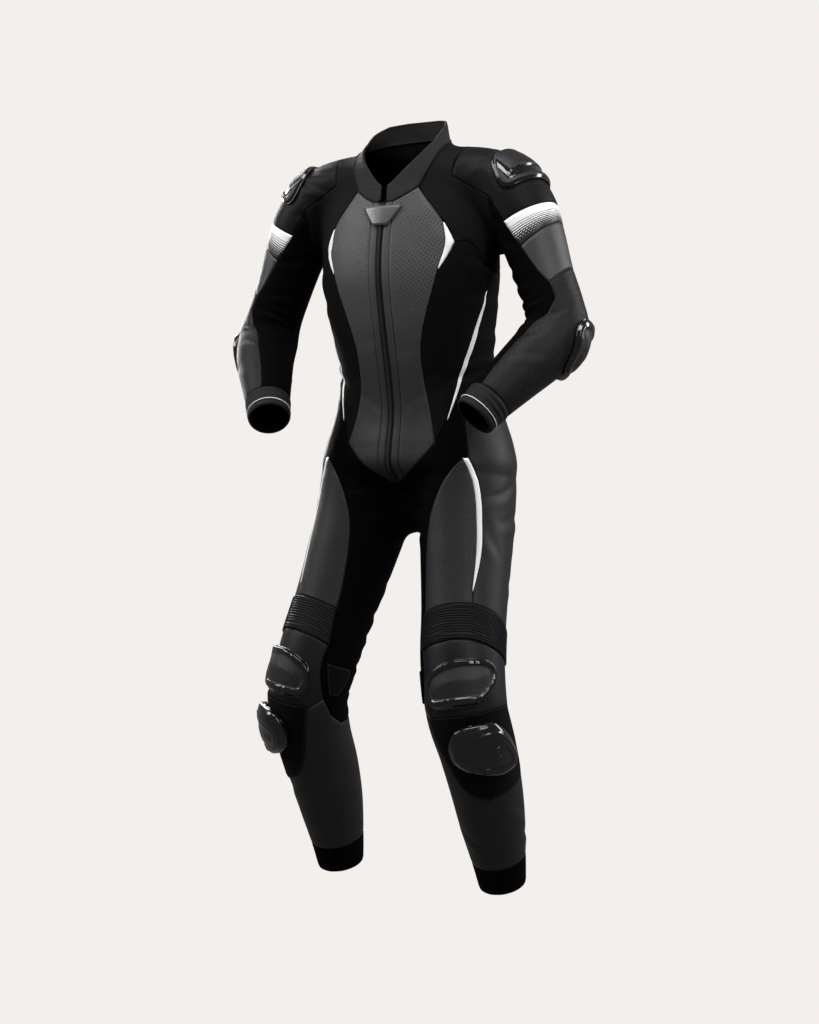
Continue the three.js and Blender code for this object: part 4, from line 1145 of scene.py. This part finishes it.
# %% Knee sliders
KNEE_SLIDER = [
    (543, 12, 52), (551, -1, 63), (567, -6, 72), (586, -2, 77), (604, 11, 80), (618, 28, 80), (628, 46, 74),
]
SLIDER_MIDDLE = 38


def slider_profile(away, v, u):
    """A puck with steep sides and a domed face, a fine lip near its rim and a dished middle."""
    deep = np.clip(away / SLIDER_MIDDLE, 0, 1)
    dome = 8 * step_up(away, -0.5, 0.6) + 15 * np.sqrt(deep * (2 - deep))
    lip = 1.6 * np.exp(-(((away - 10) / 1.5) ** 2))
    dish = 2.2 * step_up(away, 17, 20) - 1.2 * step_up(away, 20, SLIDER_MIDDLE)
    return dome + lip - dish


for side in ("left", "right"):
    hard_part(f"knee_slider_{side}", leg, KNEE_SLIDER, LEG_GIRTH, SLIDER_BASE, slider_profile,
              [gloss_plastic, puck_plastic], lambda away, v, u: away > 11.5)

# %% Shoulder caps
SHOULDER_CAP = [(168, 40, 144), (178, 24, 156), (198, 14, 162), (214, 11, 162), (225, 16, 154)]


def shoulder_channel(away, v, u):
    """A black channel along the lower edge of the cap and up its front."""
    low = groove(v, 0.60, 0.86, 0.05) * step_up(u, 0.07, 0.11)
    fore = groove(u, 0.07, 0.15, 0.02) * (1 - step_up(v, 0.80, 0.86))
    return np.maximum(low, fore) * step_up(away, 3.5, 5.5)


def shoulder_profile(away, v, u):
    cap = 3 + 4.0 * step_up(away, 0.3, 4.5) + 1.2 * step_up(away, 6, 26)
    return cap - 3.4 * shoulder_channel(away, v, u)


for side in ("left", "right"):
    hard_part(f"shoulder_cap_{side}", sleeve, SHOULDER_CAP, SLEEVE_GIRTH, CAP_BASE, shoulder_profile,
              [satin_plastic, gloss_plastic],
              lambda away, v, u: (shoulder_channel(away, v, u) > 0.3) | (away < 3.5))

# %% Elbow caps
ELBOW_CAP = [(454, 86, 150), (462, 70, 168), (480, 68, 176), (496, 88, 178), (511, 98, 176), (523, 108, 164)]


def elbow_profile(away, v, u):
    rim = 3 + 5.5 * step_up(away, 0.3, 4.5) - 2.6 * step_up(away, 9, 11)
    return rim + 3.4 * step_up(away, 12, 28)


for side in ("left", "right"):
    hard_part(f"elbow_cap_{side}", sleeve, ELBOW_CAP, SLEEVE_GIRTH, CAP_BASE, elbow_profile,
              [gloss_plastic, satin_plastic], lambda away, v, u: away > 10)


# %% Stitched outlines round the guards
OUTLINE_ROWS = (4.5, 7.5)
OUTLINE_STEP = 0.6


def widened(line, by):
    """A closed flat line moved outwards."""
    x, y = line.T
    turning = np.sign((x * np.roll(y, -1) - np.roll(x, -1) * y).sum())
    ahead = np.roll(line, -1, axis=0) - np.roll(line, 1, axis=0)
    return line + by * unit(np.column_stack([ahead[:, 1], -ahead[:, 0]])) * turning


def outline_stitches(name, tube, table, girth, side):
    """Rows of stitches in the leather, a few millimetres outside a guard."""
    lines = []
    mirror = [-1, 1, 1] if side == "right" else [1, 1, 1]
    for by in OUTLINE_ROWS:
        wide = widened(outline(table, girth), by)
        dense = resampled(wide, int(closed_length(wide)[1][-1] / OUTLINE_STEP))
        foot = on(tube, dense[:, 0], dense[:, 1] / girth)
        lines.append((foot * mirror, normal(foot) * mirror))
    stitches(name, lines)


for side in ("left", "right"):
    outline_stitches(f"stitches_shoulder_cap_{side}", sleeve, SHOULDER_CAP, SLEEVE_GIRTH, side)
    outline_stitches(f"stitches_elbow_cap_{side}", sleeve, ELBOW_CAP, SLEEVE_GIRTH, side)

# %% [markdown]
# Piping. A dark round cord is sewn into the collar seam, with a wider binding behind it that closes the seam
# from inside, and a thin white cord runs round the sleeve near the cuff. A bevelled curve would give the same
# round cord, but a mesh can take its thickness from the seam, which is not equally wide all along.

# %% Piping
PIPING_SIDES = 8
PIPING_FROM_EDGE = 5.0
SEWN = 3.0
BOUND = 7.0
SHORTEST_RUN = 3
COLLAR_PIPING_LIFT = 0.6
COLLAR_PIPING_RADIUS = 1.5
BINDING_SUNK = 1.4
BINDING_RADIUS = 1.4


def piping(name, run, up, radius, finish, closed=True):
    """A round cord along a run. Radius is one number, or one for each point of the run."""
    ahead = np.roll(run, -1, axis=0) - np.roll(run, 1, axis=0)
    if not closed:
        ahead[0] = run[1] - run[0]
        ahead[-1] = run[-1] - run[-2]
    across = unit(np.cross(up, unit(ahead)))
    angle = np.linspace(0, 2 * math.pi, PIPING_SIDES, endpoint=False)[None, :, None]
    spokes = np.cos(angle) * across[:, None] + np.sin(angle) * up[:, None]
    points = (run[:, None] + np.reshape(radius, (-1, 1, 1)) * spokes).reshape(-1, 3)
    rows = len(run)
    i = np.repeat(np.arange(rows if closed else rows - 1), PIPING_SIDES)
    j = np.tile(np.arange(PIPING_SIDES), rows if closed else rows - 1)
    here, there, after = i * PIPING_SIDES, (i + 1) % rows * PIPING_SIDES, (j + 1) % PIPING_SIDES
    faces = np.column_stack([here + j, there + j, there + after, here + after])
    numbers = {"edge": np.full(len(points), PIPING_FROM_EDGE)}
    build_mesh(name, points, faces[:, ::-1], [finish], cut=points[:, :2], numbers=numbers)


def runs_where(true):
    """Each unbroken stretch of a line where a condition holds, as indices."""
    found = np.flatnonzero(true)
    return [run for run in np.split(found, np.flatnonzero(np.diff(found) > 1) + 1) if len(run) > SHORTEST_RUN]


# %% Collar seam
neighbours = np.vstack([
    run for node in OPEN_EDGES for run, _ in OPEN_EDGES[node]
    if node.startswith(("front_panel", "placket", "shoulder_yoke", "back_panel"))
])
for loop, (run, up) in enumerate(OPEN_EDGES["collar"]):
    gap = nearest_gap(run, neighbours)
    print("collar edge", loop, "points", len(run), "sewn", int((gap < SEWN).sum()))
    if gap.min() > SEWN:
        continue
    run, up, gap = (np.roll(x, -int(gap.argmax()), axis=0) for x in (run, up, gap))
    beside = neighbours[np.argmin(((run[:, None] - neighbours[None]) ** 2).sum(2), axis=1)]
    for number, part in enumerate(runs_where(gap < SEWN)):
        piping(f"collar_piping_{loop}_{number}", (run + COLLAR_PIPING_LIFT * up)[part], up[part],
               COLLAR_PIPING_RADIUS, piping_leather, closed=False)
    for number, part in enumerate(runs_where(gap < BOUND)):
        piping(f"neck_binding_{loop}_{number}", ((run + beside) / 2 - BINDING_SUNK * up)[part], up[part],
               BINDING_RADIUS + gap[part] / 2, lining_cloth, closed=False)

# %% Cuff piping
CUFF_PIPING_UP = 13
CUFF_PIPING_LIFT = 1.3
CUFF_PIPING_RADIUS = 0.8
for side, sign in (("left", 1), ("right", -1)):
    cuff_turn = np.arange(0, 360, 5.0)
    ring = on(sleeve, np.full(len(cuff_turn), sleeve.along[-1] - CUFF_PIPING_UP), cuff_turn)
    ring_up = normal(ring)
    mirror = np.array([sign, 1, 1])
    piping(f"cuff_piping_{side}", (ring + CUFF_PIPING_LIFT * ring_up) * mirror, ring_up * mirror,
           CUFF_PIPING_RADIUS, pale_print)

# %% [markdown]
# Camera, light and floor. The photograph looks at the suit from its left front, almost level. Large soft
# lights on both sides give leather its long pale highlights; the floor sweeps up behind into a plain wall.

# %% Camera
AZIMUTH = math.radians(28)
PITCH = math.radians(2.6)
DISTANCE = 2.95
TARGET = Vector((-0.005, 0.010, -0.620))
FOCAL_PIXELS = 1640
LONG_SIDE_PIXELS = 1024
SENSOR_WIDTH = 36
towards = Vector((math.sin(AZIMUTH) * math.cos(PITCH), -math.cos(AZIMUTH) * math.cos(PITCH), math.sin(PITCH)))
lens = bpy.data.cameras.new("camera")
lens.sensor_width = SENSOR_WIDTH
lens.lens = SENSOR_WIDTH * FOCAL_PIXELS / LONG_SIDE_PIXELS
lens.clip_end = 50
camera = bpy.data.objects.new("camera", lens)
bpy.context.scene.collection.objects.link(camera)
camera.location = TARGET + DISTANCE * towards
camera.rotation_euler = (-towards).to_track_quat("-Z", "Y").to_euler()
bpy.context.scene.camera = camera


# %% Lights
def softbox(name, place, size, power, aim=(0, 0, -0.6)):
    light = bpy.data.lights.new(name, "AREA")
    light.shape = "RECTANGLE"
    light.size, light.size_y = size
    light.energy = power
    lamp = bpy.data.objects.new(name, light)
    bpy.context.scene.collection.objects.link(lamp)
    lamp.location = place
    lamp.rotation_euler = (Vector(aim) - Vector(place)).to_track_quat("-Z", "Y").to_euler()


softbox("key_left", (2.6, -1.6, 1.2), (1.0, 2.0), 56)
softbox("key_right", (-2.4, -1.4, 1.2), (1.0, 2.0), 68)
softbox("top", (0.2, -1.0, 2.2), (1.6, 1.0), 66)
softbox("back_right", (-2.2, 1.4, 0.6), (0.6, 2.0), 50)
softbox("back_left", (2.2, 1.8, 0.6), (0.6, 2.0), 50)

# %% A room that looks pale to the camera and gives the suit much less light
PALE = (0.896, 0.863, 0.838)
ROOM_LIGHT = 0.26
world = bpy.data.worlds.new("studio")
world.use_nodes = True
room = world.node_tree.nodes
links = world.node_tree.links
room["Background"].inputs["Color"].default_value = (*PALE, 1)
room["Background"].inputs["Strength"].default_value = ROOM_LIGHT
seen = room.new("ShaderNodeBackground")
seen.inputs["Color"].default_value = (*PALE, 1)
ray = room.new("ShaderNodeLightPath")
either = room.new("ShaderNodeMixShader")
links.new(ray.outputs["Is Camera Ray"], either.inputs[0])
links.new(room["Background"].outputs[0], either.inputs[1])
links.new(seen.outputs[0], either.inputs[2])
links.new(either.outputs[0], room["World Output"].inputs["Surface"])
bpy.context.scene.world = world
bpy.context.scene.view_settings.view_transform = "Standard"


# %% Floor
def sweep(level=-1.33, back=3.6, radius=1.2, half_width=8.0, front_edge=-8.0, top=5.0):
    arc = [(back - radius + radius * math.sin(a), level + radius - radius * math.cos(a))
           for a in np.linspace(0, math.pi / 2, 24)]
    profile = [(front_edge, level), *arc, (back, top)]
    points = [(s * half_width, y, z) for y, z in profile for s in (-1, 1)]
    faces = [(2 * k, 2 * k + 1, 2 * k + 3, 2 * k + 2) for k in range(len(profile) - 1)]
    mesh = bpy.data.meshes.new("floor")
    mesh.from_pydata(points, [], faces)
    mesh.polygons.foreach_set("use_smooth", [True] * len(faces))
    finish = Finish("floor", (0.0, 0.0, 0.0), 1.0, specular_ior_level=0.0)
    watched = finish.node("ShaderNodeLightPath", output="Is Camera Ray")
    finish.feed("Emission Color", finish.blend(watched, shade(PALE, ROOM_LIGHT), PALE))
    finish.feed("Emission Strength", 1.0)
    mesh.materials.append(finish.material)
    floor = bpy.data.objects.new("floor", mesh)
    bpy.context.scene.collection.objects.link(floor)


sweep()
